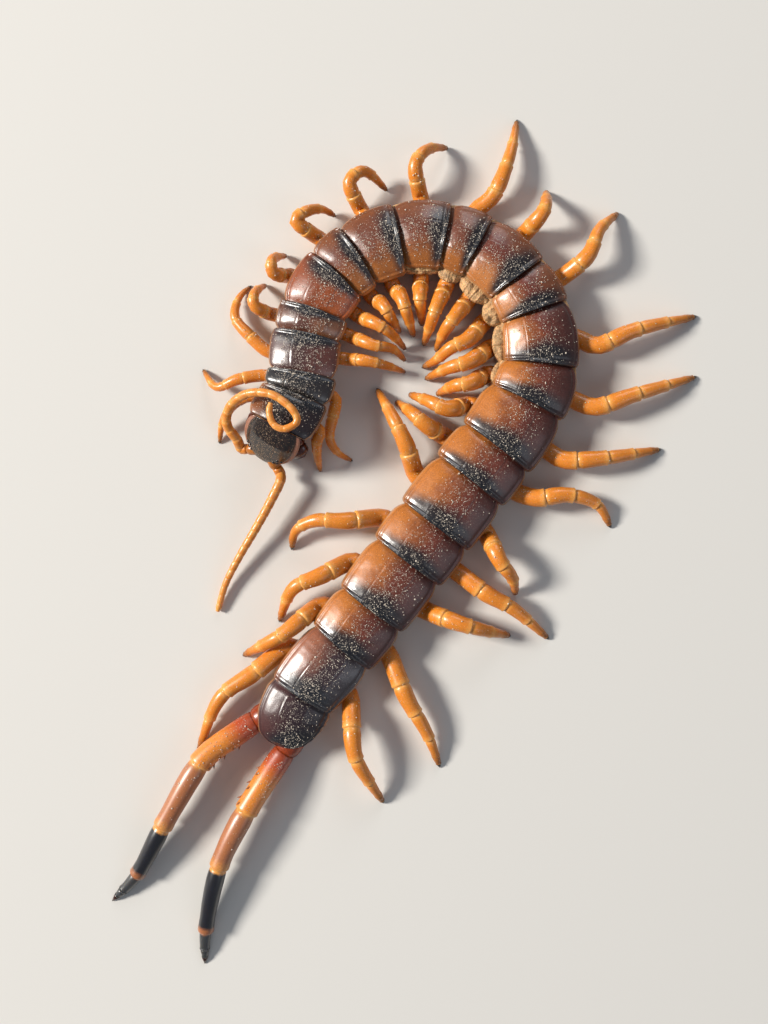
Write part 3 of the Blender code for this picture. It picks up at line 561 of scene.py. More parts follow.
def plate_finish(tone):
    """Back-plate cuticle: hard waxy chitin, so a sharp wet-looking glint over a mottled brick body."""
    glossy = tone in GLOSSY_TONES
    coat, coat_roughness, roughness = (1.0, 0.35, 0.26) if glossy else (0.35, 0.16, 0.34)
    made, tree, shader = new_finish(f"{tone}_plate_cuticle", {
        "IOR": CHITIN_IOR, "Coat Weight": coat, "Coat Roughness": coat_roughness,
    })
    if tree is None:
        return made
    where, across, along = coordinates(tree)
    mottle = add_node(tree, "TexNoise", {"Vector": where, "Scale": PER_MM / MOTTLE, "Detail": 6.0})
    fine = grain_height(tree, where, PLATE_GRAIN, 0.016, shader)
    reach = add_node(tree, "Math", {0: across}, operation="ABSOLUTE")
    # Mottling shifts the zones a little, so that no edge between two colours is ruled.
    side = add_node(tree, "Math", {0: mottle, 1: 0.4, 2: 0.3}, operation="MULTIPLY_ADD")
    side = add_node(tree, "Math", {0: across, 1: 0.5, 2: side}, operation="MULTIPLY_ADD")
    middle, flank = tint(f"{tone}_middle"), tint(f"{tone}_flank")
    # The animal's right side of each plate is painted darker than its left, as painted shade; on the first
    # plate it is the left flank that is painted dark, as painted shade.
    right = tint("first_right") if tone == "first" else blend(middle, flank, 0.4)
    shade = 1.0 if tone == "first" else 0.82
    near, far = darker(middle, shade), darker(blend(middle, right, 0.6), shade)
    # On these plates the painted shade on the right is mixed towards the blue-black of the band.
    if tone in RIGHT_SHADE_TONES:
        right = far = blend(middle, tint("band"), 0.45)
        near = blend(middle, far, 0.6)
    hue = add_node(tree, "ValToRGB", {"Fac": side}, (
        (0.0, darker(right, shade)), (0.16, far), (0.3, near),
        (0.46, middle), (0.62, blend(middle, flank, 0.35)), (0.82, flank), (1.0, flank),
    ))
    hem = add_node(tree, "ValToRGB", {"Fac": reach}, ((0.962, 0.0), (0.985, 0.7)))
    hue = add_node(tree, "Mix", {0: hem, 6: hue, 7: tint("rim")}, data_type="RGBA")
    shift = add_node(tree, "Math", {0: mottle, 1: 0.16, 2: -0.08}, operation="MULTIPLY_ADD")
    along = add_node(tree, "Math", {0: along, 1: shift}, operation="ADD")
    # The front of each plate, tucked under the plate before, is painted blue-black: painted shade in the gap
    # between plates.
    front = add_node(tree, "ValToRGB", {"Fac": along}, ((0.0, 0.75), (0.07, 0.1), (0.16, 0.0)))
    # The band reaches furthest forward right of the middle, and fades at both flanks.
    across = add_node(tree, "Math", {0: across, 1: 0.5, 2: 0.5}, operation="MULTIPLY_ADD")
    bulge = add_node(tree, "ValToRGB", {"Fac": across}, (
        (0.0, 0.2), (0.2, 0.55), (0.42, 1.0), (0.6, 0.7), (0.85, 0.25), (1.0, 0.2),
    ))
    bulge = add_node(tree, "Math", {0: bulge, 1: 0.18, 2: -0.09}, operation="MULTIPLY_ADD")
    bulge = add_node(tree, "Math", {0: along, 1: bulge}, operation="ADD")
    band = add_node(tree, "ValToRGB", {"Fac": bulge}, ((0.62, 0.0), (0.80, 0.94), (1.0, 1.0)))
    edge = add_node(tree, "ValToRGB", {"Fac": across}, (
        (0.04, 0.3), (0.14, 0.85), (0.25, 1.0), (0.86, 1.0), (0.95, 0.45), (1.0, 0.3),
    ))
    band = add_node(tree, "Math", {0: band, 1: edge}, operation="MULTIPLY")
    # The blue-black mix holds the plate's own rear band and the painted shade at its front.
    band_and_gap_shade = add_node(tree, "Math", {0: front, 1: band}, operation="MAXIMUM")
    hue = add_node(tree, "Mix", {0: band_and_gap_shade, 6: hue, 7: tint("band")}, data_type="RGBA")
    speckle = add_node(tree, "ValToRGB", {"Fac": fine}, ((0.4, 0.72), (0.62, 1.15)))
    hue = add_node(tree, "Mix", {0: 0.8, 6: hue, 7: speckle}, data_type="RGBA", blend_type="MULTIPLY")
    # A film of dust, thickest along the spine, dulls the surface.
    film = add_node(tree, "TexNoise", {"Vector": where, "Scale": PER_MM / FILM_GRAIN, "Detail": 6.0})
    film = add_node(tree, "ValToRGB", {"Fac": film}, ((0.56, 0.0), (0.68, 1.0)))
    spine = add_node(tree, "ValToRGB", {"Fac": reach}, ((0.0, 0.3), (0.35, 0.2), (0.75, 0.03)))
    film = add_node(tree, "Math", {0: film, 1: spine}, operation="MULTIPLY")
    hue = add_node(tree, "Mix", {0: film, 6: hue, 7: tint("dust")}, data_type="RGBA")
    matt = add_node(tree, "MapRange", {"Value": film, 3: roughness, 4: 0.75})
    feed(tree, shader, {"Base Color": hue, "Roughness": matt})
    if not glossy:
        # The band shines most on the animal's left.
        gleam = add_node(tree, "MapRange", {"Value": across, 1: 0.5, 2: 0.7, 3: 0.2, 4: 1.0})
        gleam = add_node(tree, "Math", {0: gleam, 1: band}, operation="MULTIPLY")
        gleam = add_node(tree, "MapRange", {"Value": gleam, 3: 0.15, 4: 0.9})
        feed(tree, shader, {"Coat Weight": gleam})
    return made


def membrane_finish():
    """Flank skin: dry leathery pleura, granular and pale like sand, with soft light under it."""
    made, tree, shader = new_finish("flank_skin", {
        "IOR": SKIN_IOR, "Roughness": 0.62, "Subsurface Weight": 0.12, "Subsurface Scale": SOFT_DEPTH * MM,
    })
    if tree is None:
        return made
    where = add_node(tree, "TexCoord").outputs["Object"]
    cells = add_node(tree, "TexVoronoi", {"Vector": where, "Scale": PER_MM / SKIN_GRAIN})
    bump = add_node(tree, "Bump", {"Height": cells, "Distance": -0.07 * MM, "Strength": 1.0})
    cloud = add_node(tree, "TexNoise", {"Vector": where, "Scale": PER_MM / SKIN_CLOUD, "Detail": 8.0})
    skin = add_node(tree, "ValToRGB", {"Fac": cloud}, (
        (0.3, darker(tint("membrane"), 0.5)), (0.5, tint("membrane")), (0.7, darker(tint("membrane"), 1.35)),
    ))
    creases = add_node(tree, "ValToRGB", {"Fac": cells}, ((0.2, 1.0), (0.75, 0.6)))
    skin = add_node(tree, "Mix", {0: 1.0, 6: skin, 7: creases}, data_type="RGBA", blend_type="MULTIPLY")
    feed(tree, shader, {"Normal": bump, "Base Color": skin})
    return made


def mottled_finish(name, colour, roughness, coat, size=0.2, depth=0.01):
    """Smooth chitin of one hue: a glossy coat over slightly uneven pigment."""
    made, tree, shader = new_finish(name, {
        "IOR": CHITIN_IOR, "Roughness": roughness, "Coat Weight": coat, "Coat Roughness": 0.14,
    })
    if tree is None:
        return made
    where = add_node(tree, "TexCoord").outputs["Object"]
    noise = grain_height(tree, where, size, depth, shader)
    hue = add_node(tree, "ValToRGB", {"Fac": noise}, (
        (0.3, darker(colour, 0.62)), (0.6, colour), (0.8, darker(colour, 1.25)),
    ))
    feed(tree, shader, {"Base Color": hue})
    return made


def banded_finish(name, stops, roughness=0.36, dust=0.5, gloss=None, coat=(0.2, 0.12)):
    """Limb cuticle: thin glossy chitin that lets light in, coloured by the place along the limb.

    Grains of dust fused to the limb are told from it by a place across the limb beyond one.
    """
    made, tree, shader = new_finish(name, {
        "IOR": CHITIN_IOR, "Roughness": roughness, "Coat Weight": coat[0], "Coat Roughness": coat[1],
        "Subsurface Weight": 0.18, "Subsurface Scale": LIMB_DEPTH * MM, "Subsurface Radius": (1.0, 0.35, 0.1),
    })
    if tree is None:
        return made
    where, across, along = coordinates(tree)
    noise = grain_height(tree, where, LIMB_GRAIN, 0.01, shader)
    wobble = add_node(tree, "Math", {0: noise, 1: 0.012, 2: -0.006}, operation="MULTIPLY_ADD")
    along = add_node(tree, "Math", {0: along, 1: wobble}, operation="ADD")
    hue = add_node(tree, "ValToRGB", {"Fac": along}, stops)
    shade = add_node(tree, "ValToRGB", {"Fac": noise}, ((0.3, 0.72), (0.6, 1.0)))
    hue = add_node(tree, "Mix", {0: 0.7, 6: hue, 7: shade}, data_type="RGBA", blend_type="MULTIPLY")
    film = add_node(tree, "TexNoise", {"Vector": where, "Scale": PER_MM / LIMB_FILM, "Detail": 4.0})
    film = add_node(tree, "ValToRGB", {"Fac": film}, ((0.64, 0.0), (0.7, dust)))
    grain = add_node(tree, "Math", {0: across, 1: 1.5}, operation="GREATER_THAN")
    film = add_node(tree, "Math", {0: film, 1: grain}, operation="MAXIMUM")
    hue = add_node(tree, "Mix", {0: film, 6: hue, 7: tint("dust")}, data_type="RGBA")
    feed(tree, shader, {"Base Color": hue})
    if gloss:
        feed(tree, shader, {"Roughness": add_node(tree, "ValToRGB", {"Fac": along}, gloss)})
    return made


def leg_finish():
    """Walking-leg cuticle: bright translucent orange, paler where articles meet and browner at the foot."""
    leg, joint = tint("leg"), tint("joint")
    stops = [(0.0, darker(leg, 0.75)), (0.05, leg)]
    for _, end, _, _ in LEG_ARTICLES[:3]:
        stops += [(end - 0.05, leg), (end - 0.015, joint), (end + 0.012, joint), (end + 0.04, leg)]
    stops += [(0.86, darker(leg, 0.8)), (0.96, darker(leg, 0.35))]
    return banded_finish("walking_leg_cuticle", stops)


def feeler_finish():
    """Feeler cuticle: the orange of the legs with a velvety outer half."""
    leg, joint = tint("leg"), tint("joint")
    stops = [(0.0, darker(leg, 0.85))]
    for article in range(1, FEELER_RINGED):
        place = article / FEELER_ARTICLES
        stops += [(place - 0.012, darker(leg, 0.92)), (place, joint)]
    stops += [(0.78, leg), (1.0, joint)]
    return banded_finish("feeler_cuticle", stops, roughness=0.4)


def end_leg_finish(side):
    """Last-leg cuticle: red-orange, orange, then glossy black with an orange ring, and a dull dark foot."""
    first, second, third = END_LEG_JOINTS[side]
    root, middle, black, foot = (tint(f"end_{part}") for part in ("root", "middle", "black", "foot"))
    leg, joint = tint("leg"), tint("joint")
    stops = [
        (0.0, darker(root, 0.7)), (0.06, root), (0.15, leg), (first - 0.02, leg), (first, joint),
        (first + 0.02, middle), (second - 0.05, middle), (second - 0.02, blend(middle, joint, 0.5)),
        (second + 0.012, joint), (second + 0.018, black), (third - 0.035, black),
        (third - 0.02, darker(middle, 0.8)), (third, middle), (third + 0.012, foot), (1.0, darker(foot, 0.8)),
    ]
    gloss = (0.0, 0.42), (second, 0.42), (second + 0.015, 0.34), (third - 0.03, 0.34), (third, 0.42)
    return banded_finish(f"last_leg_cuticle_{side}", stops, dust=0.0, gloss=gloss, coat=(0.7, 0.32))


def head_finish():
    """Head-shield cuticle: near-black chitin, glossy under a sprinkling of fine pale dust."""
    made, tree, shader = new_finish("head_shield_cuticle", {
        "IOR": CHITIN_IOR, "Roughness": 0.28, "Coat Weight": 0.3,
    })
    if tree is None:
        return made
    where = add_node(tree, "TexCoord").outputs["Object"]
    fine = grain_height(tree, where, PLATE_GRAIN, 0.02, shader)
    film = add_node(tree, "TexNoise", {"Vector": where, "Scale": PER_MM / HEAD_FILM, "Detail": 6.0})
    film = add_node(tree, "ValToRGB", {"Fac": film}, ((0.55, 0.0), (0.72, 0.5)))
    hue = add_node(tree, "ValToRGB", {"Fac": fine}, (
        (0.35, darker(tint("head"), 0.6)), (0.7, darker(tint("head"), 1.6)),
    ))
    hue = add_node(tree, "Mix", {0: film, 6: hue, 7: darker(tint("face"), 0.5)}, data_type="RGBA")
    feed(tree, shader, {"Base Color": hue})
    return made


def unit(vector):
    """The vector at length one."""
    return vector / np.linalg.norm(vector)


def same_shape(*values):
    """The values as arrays of one shape."""
    return np.broadcast_arrays(*(np.asarray(value, float) for value in values))


def circle(count):
    """Angles spread evenly round a circle."""
    return np.arange(count) * 2 * math.pi / count


def in_order(*parts):
    """Places in order, each of them once."""
    return np.unique(np.round(np.concatenate(parts), 4))


def smooth_curve(points, steps=24):
    """Dense points on a centripetal curve through the given ones."""
    points = [np.array(p, float) for p in points]
    knots = [2 * points[0] - points[1], *points, 2 * points[-1] - points[-2]]
    curve = []
    for a, b, c, d in zip(knots, knots[1:], knots[2:], knots[3:]):
        t1 = math.sqrt(np.linalg.norm(b - a))
        t2 = t1 + math.sqrt(np.linalg.norm(c - b))
        t3 = t2 + math.sqrt(np.linalg.norm(d - c))
        for t in np.linspace(t1, t2, steps, endpoint=False):
            ab = a + (b - a) * t / t1
            bc = b + (c - b) * (t - t1) / (t2 - t1)
            cd = c + (d - c) * (t - t2) / (t3 - t2)
            abc = ab + (bc - ab) * t / t2
            bcd = bc + (cd - bc) * (t - t1) / (t3 - t1)
            curve.append(abc + (bcd - abc) * (t - t1) / (t2 - t1))
    curve.append(points[-1])
    return np.array(curve)


class Line:
    """A curve that is asked for points by the distance along it."""

    def __init__(self, curve):
        self.curve = curve
        steps = np.linalg.norm(np.diff(curve, axis=0), axis=1)
        self.reach = np.concatenate([[0.0], np.cumsum(steps)])
        self.length = self.reach[-1]

    def inner(self, distance):
        """Points at distances that lie on the curve."""
        return np.stack([np.interp(distance, self.reach, column) for column in self.curve.T], axis=-1)

    def at(self, distance):
        """The points at these distances, past the ends in a straight line."""
        inside = np.clip(distance, 0.0, self.length)
        return self.inner(inside) + self.heading(inside) * np.expand_dims(distance - inside, -1)

    def heading(self, distance):
        """The directions of travel there."""
        low = self.inner(np.clip(distance - HEADING_SPAN, 0.0, self.length))
        high = self.inner(np.clip(distance + HEADING_SPAN, 0.0, self.length))
        return (high - low) / np.linalg.norm(high - low, axis=-1, keepdims=True)


def straight(start, end):
    """A straight line."""
    return Line(np.array([start, end]))


def spine_line():
    """The line of the back from the first segment's front to the end of the tail."""
    start, end = HOOK_ANGLES
    angles = np.radians(np.arange(start, end + HOOK_STEP / 2, HOOK_STEP))
    hook = np.array(HOOK_CENTRE) + HOOK_RADIUS * np.stack([np.cos(angles), np.sin(angles)], axis=-1)
    return Line(smooth_curve([*NECK_PLAN, *hook, *TAIL]))


SPINE = spine_line()


def plate_length(number):
    """How long the back plate of this segment is, before the plates share out the spine."""
    if number == SEGMENTS:
        return END_PLATE
    base, growth = LONG_PLATE if number in LONG_PLATES else SHORT_PLATE
    return base + growth * number


def segment_edges():
    """Distances along the spine where the segments meet."""
    lengths = [plate_length(number) for number in range(1, SEGMENTS + 1)]
    share = SPINE.length / sum(lengths)
    return np.concatenate([[0.0], np.cumsum(lengths) * share])


EDGES = segment_edges()
MIDDLES = (EDGES[:-1] + EDGES[1:]) / 2


def segment_value(values_at, values, distance):
    """A size that changes from segment to segment, read at distances along the spine."""
    return np.interp(distance, MIDDLES[np.array(values_at) - 1], values)


def lift(distance):
    """How high the front of the trunk is raised off the floor."""
    return FRONT_LIFT * np.maximum(0.0, 1 - distance / LIFT_RUN) ** 2


def body_points(distance, side, height):
    """Points at distances along the spine, out to the animal's left and above the raised belly."""
    distance, side, height = same_shape(distance, side, height)
    back = SPINE.heading(distance)
    left = np.stack([back[..., 1], -back[..., 0]], axis=-1)
    flat = SPINE.at(distance) + left * side[..., None]
    return np.concatenate([flat, (height + lift(distance))[..., None]], axis=-1)


def ripple(points, size, seed):
    """Smooth seeded unevenness between about minus one and one, with waves of the given size."""
    draw = np.random.default_rng(seed)
    total = np.zeros(points.shape[:-1])
    for _ in range(6):
        way = draw.normal(size=3)
        wave = 2 * math.pi / (size * draw.uniform(0.7, 1.6))
        total += np.sin(points @ (way / np.linalg.norm(way)) * wave + draw.uniform(0, 2 * math.pi))
    return total / 3.0


def bell(value, width):
    """One at zero, falling off smoothly over the given width."""
    return np.exp(-(value / width) ** 2)


def half_width(distance):
    """Half the width of the trunk."""
    return segment_value(HALF_WIDTH_AT, HALF_WIDTH, distance)


def back_height(distance):
    """Height of the middle of the back over the belly."""
    return segment_value(BACK_HEIGHT_AT, BACK_HEIGHT, distance)


def plate_top(number, share, along):
    """Points on top of a back plate. Share runs from -1 on the right to 1 on the left, along from 0 to 1."""
    size = sizes()
    front, rear = EDGES[number - 1] - PLATE_TUCK * (number > 1), EDGES[number]
    share, along = same_shape(share, along)
    distance = front + (rear - front) * along
    from_rear = rear - distance
    visible = np.clip((distance - EDGES[number - 1]) / (rear - EDGES[number - 1]), 0.0, 1.0)
    half = half_width(distance)
    if number == SEGMENTS:
        wide = np.interp(visible, END_STEPS, END_WIDTH)
        rise = np.interp(visible, (0.0, 0.08), (-0.4, 0.0)) - END_DROP * visible ** 3
    else:
        wide = np.interp(visible, PLATE_STEPS, PLATE_WIDTH)
        rise = np.interp(visible, PLATE_STEPS, PLATE_RISE)
        corner = np.clip(1 - from_rear / CORNER_RADIUS, 0.0, 1.0)
        wide = wide - 0.8 * CORNER_RADIUS / half * (1 - np.sqrt(1 - corner ** 2))
    if number in SQUEEZED:
        wide = wide * (1 - (1 - SQUEEZED[number]) * np.clip(share * 3, 0, 1))
    tall = back_height(distance)
    rim = tall * RIM_SHARE
    # The plates are vaulted between their two grooves and slope almost straight down outside them.
    reach = np.abs(share)
    vault = np.sqrt(np.maximum(0.0, 1 - reach ** VAULT_POWER))
    slopes = np.interp(reach, SLOPE_SHARES, SLOPE_HEIGHTS)
    arch = vault + (slopes - vault) * SLOPE_WEIGHT
    height = rim + (tall + rise - rim) * arch
    inside = np.clip((visible - 0.06) * 10, 0, 1) * np.clip(from_rear / 0.5 - 0.6, 0, 1)
    side_mm = (reach - SUTURE_SIDE - 0.05 * (1 - visible)) * half
    height = height - size["suture_depth"] * bell(side_mm, size["suture_width"]) * inside
    rim_mm = (reach - RIM_BEAD_SIDE) * half
    bead = size["rim_bead"] * bell(rim_mm, 0.17) - 0.6 * size["rim_bead"] * bell(rim_mm + 0.34, 0.16)
    height = height + bead * (number > 3)
    if number < SEGMENTS:
        height = height + size["rear_ridge"] * bell(from_rear - 0.2, 0.15)
        height = height - 0.6 * size["rear_ridge"] * bell(from_rear - 0.62, 0.2)
    points = body_points(distance, share * half * wide, height)
    for step, (wave, weight) in enumerate(PLATE_WAVES):
        points[..., 2] += weight * size["unevenness"] * ripple(points, wave, number + 50 * step) * arch
    return points


def ring_faces(rows, count):
    """The faces between closed rings of equal count that follow each other."""
    return [
        (row * count + i, row * count + j, (row + 1) * count + j, (row + 1) * count + i)
        for row in range(rows - 1) for i, j in zip(range(count), (*range(1, count), 0))
    ]


def plate_shell(tops, unders, mids):
    """A closed plate. Each row has its top points, as many under them, and a point past each side edge."""
    count = tops.shape[1]
    rings = [
        np.concatenate([top, mid[1:], under[::-1], mid[:1]]) for top, under, mid in zip(tops, unders, mids)
    ]
    size = len(rings[0])
    faces = ring_faces(len(rings), size)
    for base, flip in ((0, False), ((len(rings) - 1) * size, True)):
        caps = [
            (i, size - 2 - i, size - 3 - i, i + 1) for i in range(count - 1)
        ] + [(0, size - 1, size - 2), (count - 1, count + 1, count)]
        for cap in caps:
            face = tuple(base + i for i in cap)
            faces.append(face[::-1] if flip else face)
    return np.concatenate(rings), faces


def loft(rings):
    """A closed mesh through rings of equal count, its ends drawn together to a point."""
    count = len(rings[0])
    points = np.concatenate([*rings, [rings[0].mean(axis=0)], [rings[-1].mean(axis=0)]])
    first, last = len(points) - 2, len(points) - 1
    faces = ring_faces(len(rings), count)
    base = (len(rings) - 1) * count
    for i in range(count):
        j = (i + 1) % count
        faces.append((first, j, i))
        faces.append((last, base + i, base + j))
    return points, faces


def joined(shapes):
    """Several closed shapes in one mesh, with the places along them if they have some."""
    points, faces, places = [], [], []
    start = 0
    for shape in shapes:
        points.append(shape[0])
        faces += [tuple(start + i for i in face) for face in shape[1]]
        places.append(shape[2] if len(shape) > 2 else np.zeros((len(shape[0]), 2)))
        start += len(shape[0])
    return np.concatenate(points), faces, np.concatenate(places)


def link(name, data):
    """A new object in the scene."""
    made = bpy.data.objects.new(name, data)
    bpy.context.scene.collection.objects.link(made)
    return made


def mesh_object(name, shape, finish, turn_out=True):
    """An object from points in millimetres, its faces turned outwards and its places kept as a UV map."""
    points, faces = shape[:2]
    placed = (np.array(points) - np.array([*PLAN_CENTRE, 0.0])) * MM
    mesh = bpy.data.meshes.new(name)
    mesh.from_pydata(placed.tolist(), [], faces)
    if turn_out:
        solid = bmesh.new()
        solid.from_mesh(mesh)
        bmesh.ops.recalc_face_normals(solid, faces=solid.faces)
        solid.to_mesh(mesh)
        solid.free()
    if len(shape) > 2:
        layer = mesh.uv_layers.new(name="Place")
        corners = np.empty(len(mesh.loops), dtype=np.int32)
        mesh.loops.foreach_get("vertex_index", corners)
        layer.data.foreach_set("uv", np.asarray(shape[2], dtype=np.float32)[corners].ravel())
    mesh.materials.append(finish)
    mesh.shade_smooth()
    return link(name, mesh)


def piece(name, shape, finish, slot_name, *nodes, turn_out=True):
    """One piece of the animal: it rides on the root body and stands for the nodes it covers."""
    made = mesh_object(name, shape, finish, turn_out)
    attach(made, "root")
    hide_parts(*nodes)


def trunk_piece(name, shape, finish, number, turn_out=True):
    """A piece of the trunk length that holds this segment."""
    first = (number - 1) // SEGMENTS_PER_LENGTH * SEGMENTS_PER_LENGTH + 1
    node = f"trunk_{first:02d}_{first + SEGMENTS_PER_LENGTH - 1:02d}"
    piece(name, shape, finish, "brick_back_plate", node, turn_out=turn_out)


def head_piece(name, shape, finish, turn_out=True):
    """A piece of the head."""
    piece(name, shape, finish, "dusty_black_cuticle", "head", turn_out=turn_out)


def tube(line, profile, radius, sides, root=None, on_floor=False, flat=1.0):
    """A closed limb of rings along a line, by a profile of places and shares of the radius.

    A root direction turns the first ring parallel to the face that the limb grows from.
    """
    rings, places = [], []
    for place, share in profile:
        distance = place * line.length
        ahead = root if root is not None and place <= 0 else line.heading(distance)
        out = unit(np.cross(ahead, UP))
        up = np.cross(out, ahead)
        turns = circle(sides)
        ring = line.at(distance) + (
            np.outer(np.cos(turns), out) + np.outer(np.sin(turns), up) * flat
        ) * radius * share
        if on_floor:
            ring[:, 2] = np.maximum(ring[:, 2], 0.0)
        rings.append(ring)
        places += [(turn / (2 * math.pi), place) for turn in turns]
    points, faces = loft(rings)
    places += [(0.5, profile[0][0]), (0.5, profile[-1][0])]
    return points, faces, np.array(places)


def articulated(articles):
    """The profile of a limb. Each article swells out of a narrow joint and ends in a slight collar."""
    rows = []
    for start, end, first, last in articles:
        rows.append((start + 0.004, first * NECK))
        rows += [(start + step * (end - start), first * a + last * b) for step, a, b in SWELL]
        rows += [(end - 0.006, last * 1.01), (end - 0.001, last * 0.93)]
    return rows


def cone(foot, tip, radius, sides=10):
    """A small pointed spine."""
    line = Line(np.array([foot, foot * 0.5 + tip * 0.5, tip]))
    return tube(line, SPUR_PROFILE, radius, sides)


def ball(centre, radius, rows=10, sides=16):
    """A small round solid."""
    turns = circle(sides)
    rings = []
    for angle in math.pi * np.arange(1, rows) / rows:
        ring = np.sin(angle) * np.cos(turns), np.sin(angle) * np.sin(turns), np.full(sides, math.cos(angle))
        rings.append(centre + radius * np.stack(ring, axis=-1))
    return loft(rings)


def back_plate_shape(number):
    """One back plate with its sutures, its beaded rim, its rear ridge and its thickness."""
    shares = np.concatenate([np.linspace(0, 0.84, 18), SUTURE_SIDE + np.array(GROOVE_LINES), PLATE_LINES])
    shares = in_order(-shares, shares)
    reach = EDGES[number] - EDGES[number - 1] + PLATE_TUCK
    rear = 1 - np.array(REAR_LINES) / reach
    along = np.unique(np.concatenate([np.linspace(0, rear[-1], max(12, int(reach / 0.28))), rear]))
    grid_share, grid_along = np.meshgrid(shares, along)
    tops = plate_top(number, grid_share, grid_along)
    thick = np.where(grid_along < 0.05, PLATE_THICKNESS * 0.6, PLATE_THICKNESS)
    middle = (tops[:, :1] + tops[:, -1:]) / 2
    unders = tops + (middle - tops) * 0.02
    unders[..., 2] = tops[..., 2] - thick
    edge = tops[:, [0, -1]]
    mids = edge + (edge - middle) * 0.012
    mids[..., 2] = edge[..., 2] - PLATE_THICKNESS * 0.5
    points, faces = plate_shell(tops, unders, mids)
    places = []
    for place in along:
        places += [*zip(shares, np.full(len(shares), place)), (1.0, place)]
        places += [*zip(shares[::-1], np.full(len(shares), place)), (-1.0, place)]
    return points, faces, np.array(places)


def flank_profile(distance, number):
    """Half of the section of the soft body, from the belly up the flank and under the back plate."""
    tall = float(back_height(distance))
    rim = tall * RIM_SHARE
    high = [(0.62, rim + 0.4 * (tall - rim)), (0.3, tall - 1.1), (0.0, tall - 1.1)]
    if number in SQUEEZED:
        edge = SQUEEZED[number]
        swelling = [
            (0.86, rim - 1.3), (0.95, rim - 1.0), (1.0, rim - 0.55), (0.985, rim - 0.1), (0.94, rim + 0.15),
            (edge + 0.08, rim + 0.26), (edge + 0.02, rim + 0.16), (edge - 0.03, rim + 0.04),
            (edge - 0.09, rim + 0.1),
        ]
        return [*FLANK_FOOT, *swelling, *high]
    upper = [(0.84, rim - 0.62), (0.9, rim - 0.36), (0.92, rim - 0.12), (0.82, rim + 0.1 * (tall - rim))]
    return [*FLANK_FOOT, *upper, *high]


def flank_shape(number):
    """The soft body of one segment, with folds in its flank."""
    front, rear = EDGES[number - 1], EDGES[number]
    start = front - (0.15 if number > 1 else 0.0)
    squeezed = number in SQUEEZED
    steps = max(14, int((rear - start) / (0.1 if squeezed else 0.2)))
    rings, places = [], []
    folds = sizes()["flank_folds"]
    for place in np.linspace(0, 1, steps):
        distance = start + (rear - start) * place
        narrow = 0.925 + 0.07 * math.sin(math.pi * min(max(place, 0.02), 0.98)) ** 0.5
        if number == SEGMENTS:
            narrow = float(np.interp(place, END_STEPS, END_WIDTH)) * 0.97
        curve = smooth_curve(flank_profile(distance, number), 3)
        ring = np.concatenate([curve, curve[1:-1][::-1] * (-1, 1)])
        half = float(half_width(distance))
        drop = END_DROP * place ** 3 * (number == SEGMENTS)
        height = ring[:, 1] - np.clip(ring[:, 1] - 2.0, 0, 4) * 0.05 - drop * (ring[:, 1] > 2.2)
        if number == SEGMENTS:
            height = np.maximum(height, 0.12 + 1.2 * max(0.0, place - 0.7))
        if squeezed:
            # Each segment swells into one pleated lobe, with a deep crease at both its ends.
            swell = math.sin(math.pi * min(max(place, 0.015), 0.985)) ** 0.55
            past = ring[:, 0] - SQUEEZED[number]
            bare = np.clip((past + 0.02) * 25, 0, 1) * (ring[:, 1] > 2.3)
            beyond = np.clip(past / (1 - SQUEEZED[number]), 0, 1) * (ring[:, 1] > 1.7)
            narrow = narrow + beyond * (0.85 + SWELLING[number] * swell - narrow)
            pleat = ripple(np.array([distance, 3.0 * number, 0.0]), 0.42, number)
            height = height - bare * (0.9 * (1 - swell) + 0.05 * pleat * swell)
        middle = body_points(distance, ring[:, 0] * half * narrow, height)
        flank = bell(np.abs(ring[:, 0]) - 0.8, 0.16) * bell(ring[:, 1] - 2.0, 1.6)
        wave = 0.6 * np.sin(2 * math.pi * (place * 3 + ring[:, 1] * 0.35)) + ripple(middle, 0.9, number + 7)
        push = folds * flank * wave + 0.02 * ripple(middle, 0.35, number + 90) * flank
        if squeezed:
            lumps = 0.15 * ripple(middle, 1.2, number + 21) + 0.035 * ripple(middle, 0.35, number + 22)
            height = height + bare * lumps
            push = push - beyond * 0.05 * (1 + pleat) * swell
        rings.append(body_points(distance, ring[:, 0] * half * narrow + np.sign(ring[:, 0]) * push, height))
        places += [(0.5, place)] * len(ring)
    points, faces = loft(rings)
    places += [(0.5, 0.0), (0.5, 1.0)]
    return points, faces, np.array(places)


def belly_plate_shape(number):
    """One belly plate with two grooves, resting on the floor where the trunk isn't raised."""
    front = EDGES[number - 1] + BELLY_FRONT_GAP
    rear = EDGES[number] - (LAST_BELLY_GAP if number == SEGMENTS else BELLY_REAR_GAP)
    groove = BELLY_GROOVE + np.array((-0.05, 0.0, 0.05))
    shares = in_order(np.linspace(-1, 1, 33), -groove, groove)
    along = np.concatenate([(0, 0.02, 0.05, 0.1), np.linspace(0.15, 0.85, 12), (0.9, 0.95, 0.98, 1)])
    grid_share, grid_along = np.meshgrid(shares, along)
    distance = front + (rear - front) * grid_along
    half = half_width(distance) * BELLY_SHARE
    ends = np.minimum(grid_along, 1 - grid_along) * (rear - front)
    round_ends = 0.2 * np.maximum(0, 1 - ends / 0.4) ** 2
    corner = 1 - 0.16 * np.maximum(0, 1 - ends / 0.9) ** 2
    height = 0.62 * np.clip((np.abs(grid_share) - 0.7) / 0.3, 0, 1) ** 1.8 + round_ends
    height += 0.07 * bell((np.abs(grid_share) - BELLY_GROOVE) * half, 0.1) * (ends > 0.3)
    if number == SEGMENTS:
        half = half * (1 - 0.45 * grid_along ** 2)
        height += 0.5 * np.maximum(0, grid_along - 0.7)
    low = body_points(distance, grid_share * half * corner, height)
    high = body_points(distance, grid_share * half * corner * 0.97, height + BELLY_THICKNESS)
    mids = low[:, [0, -1]] + UP * 0.14
    points, faces = plate_shell(low, high, mids)
    return points, faces


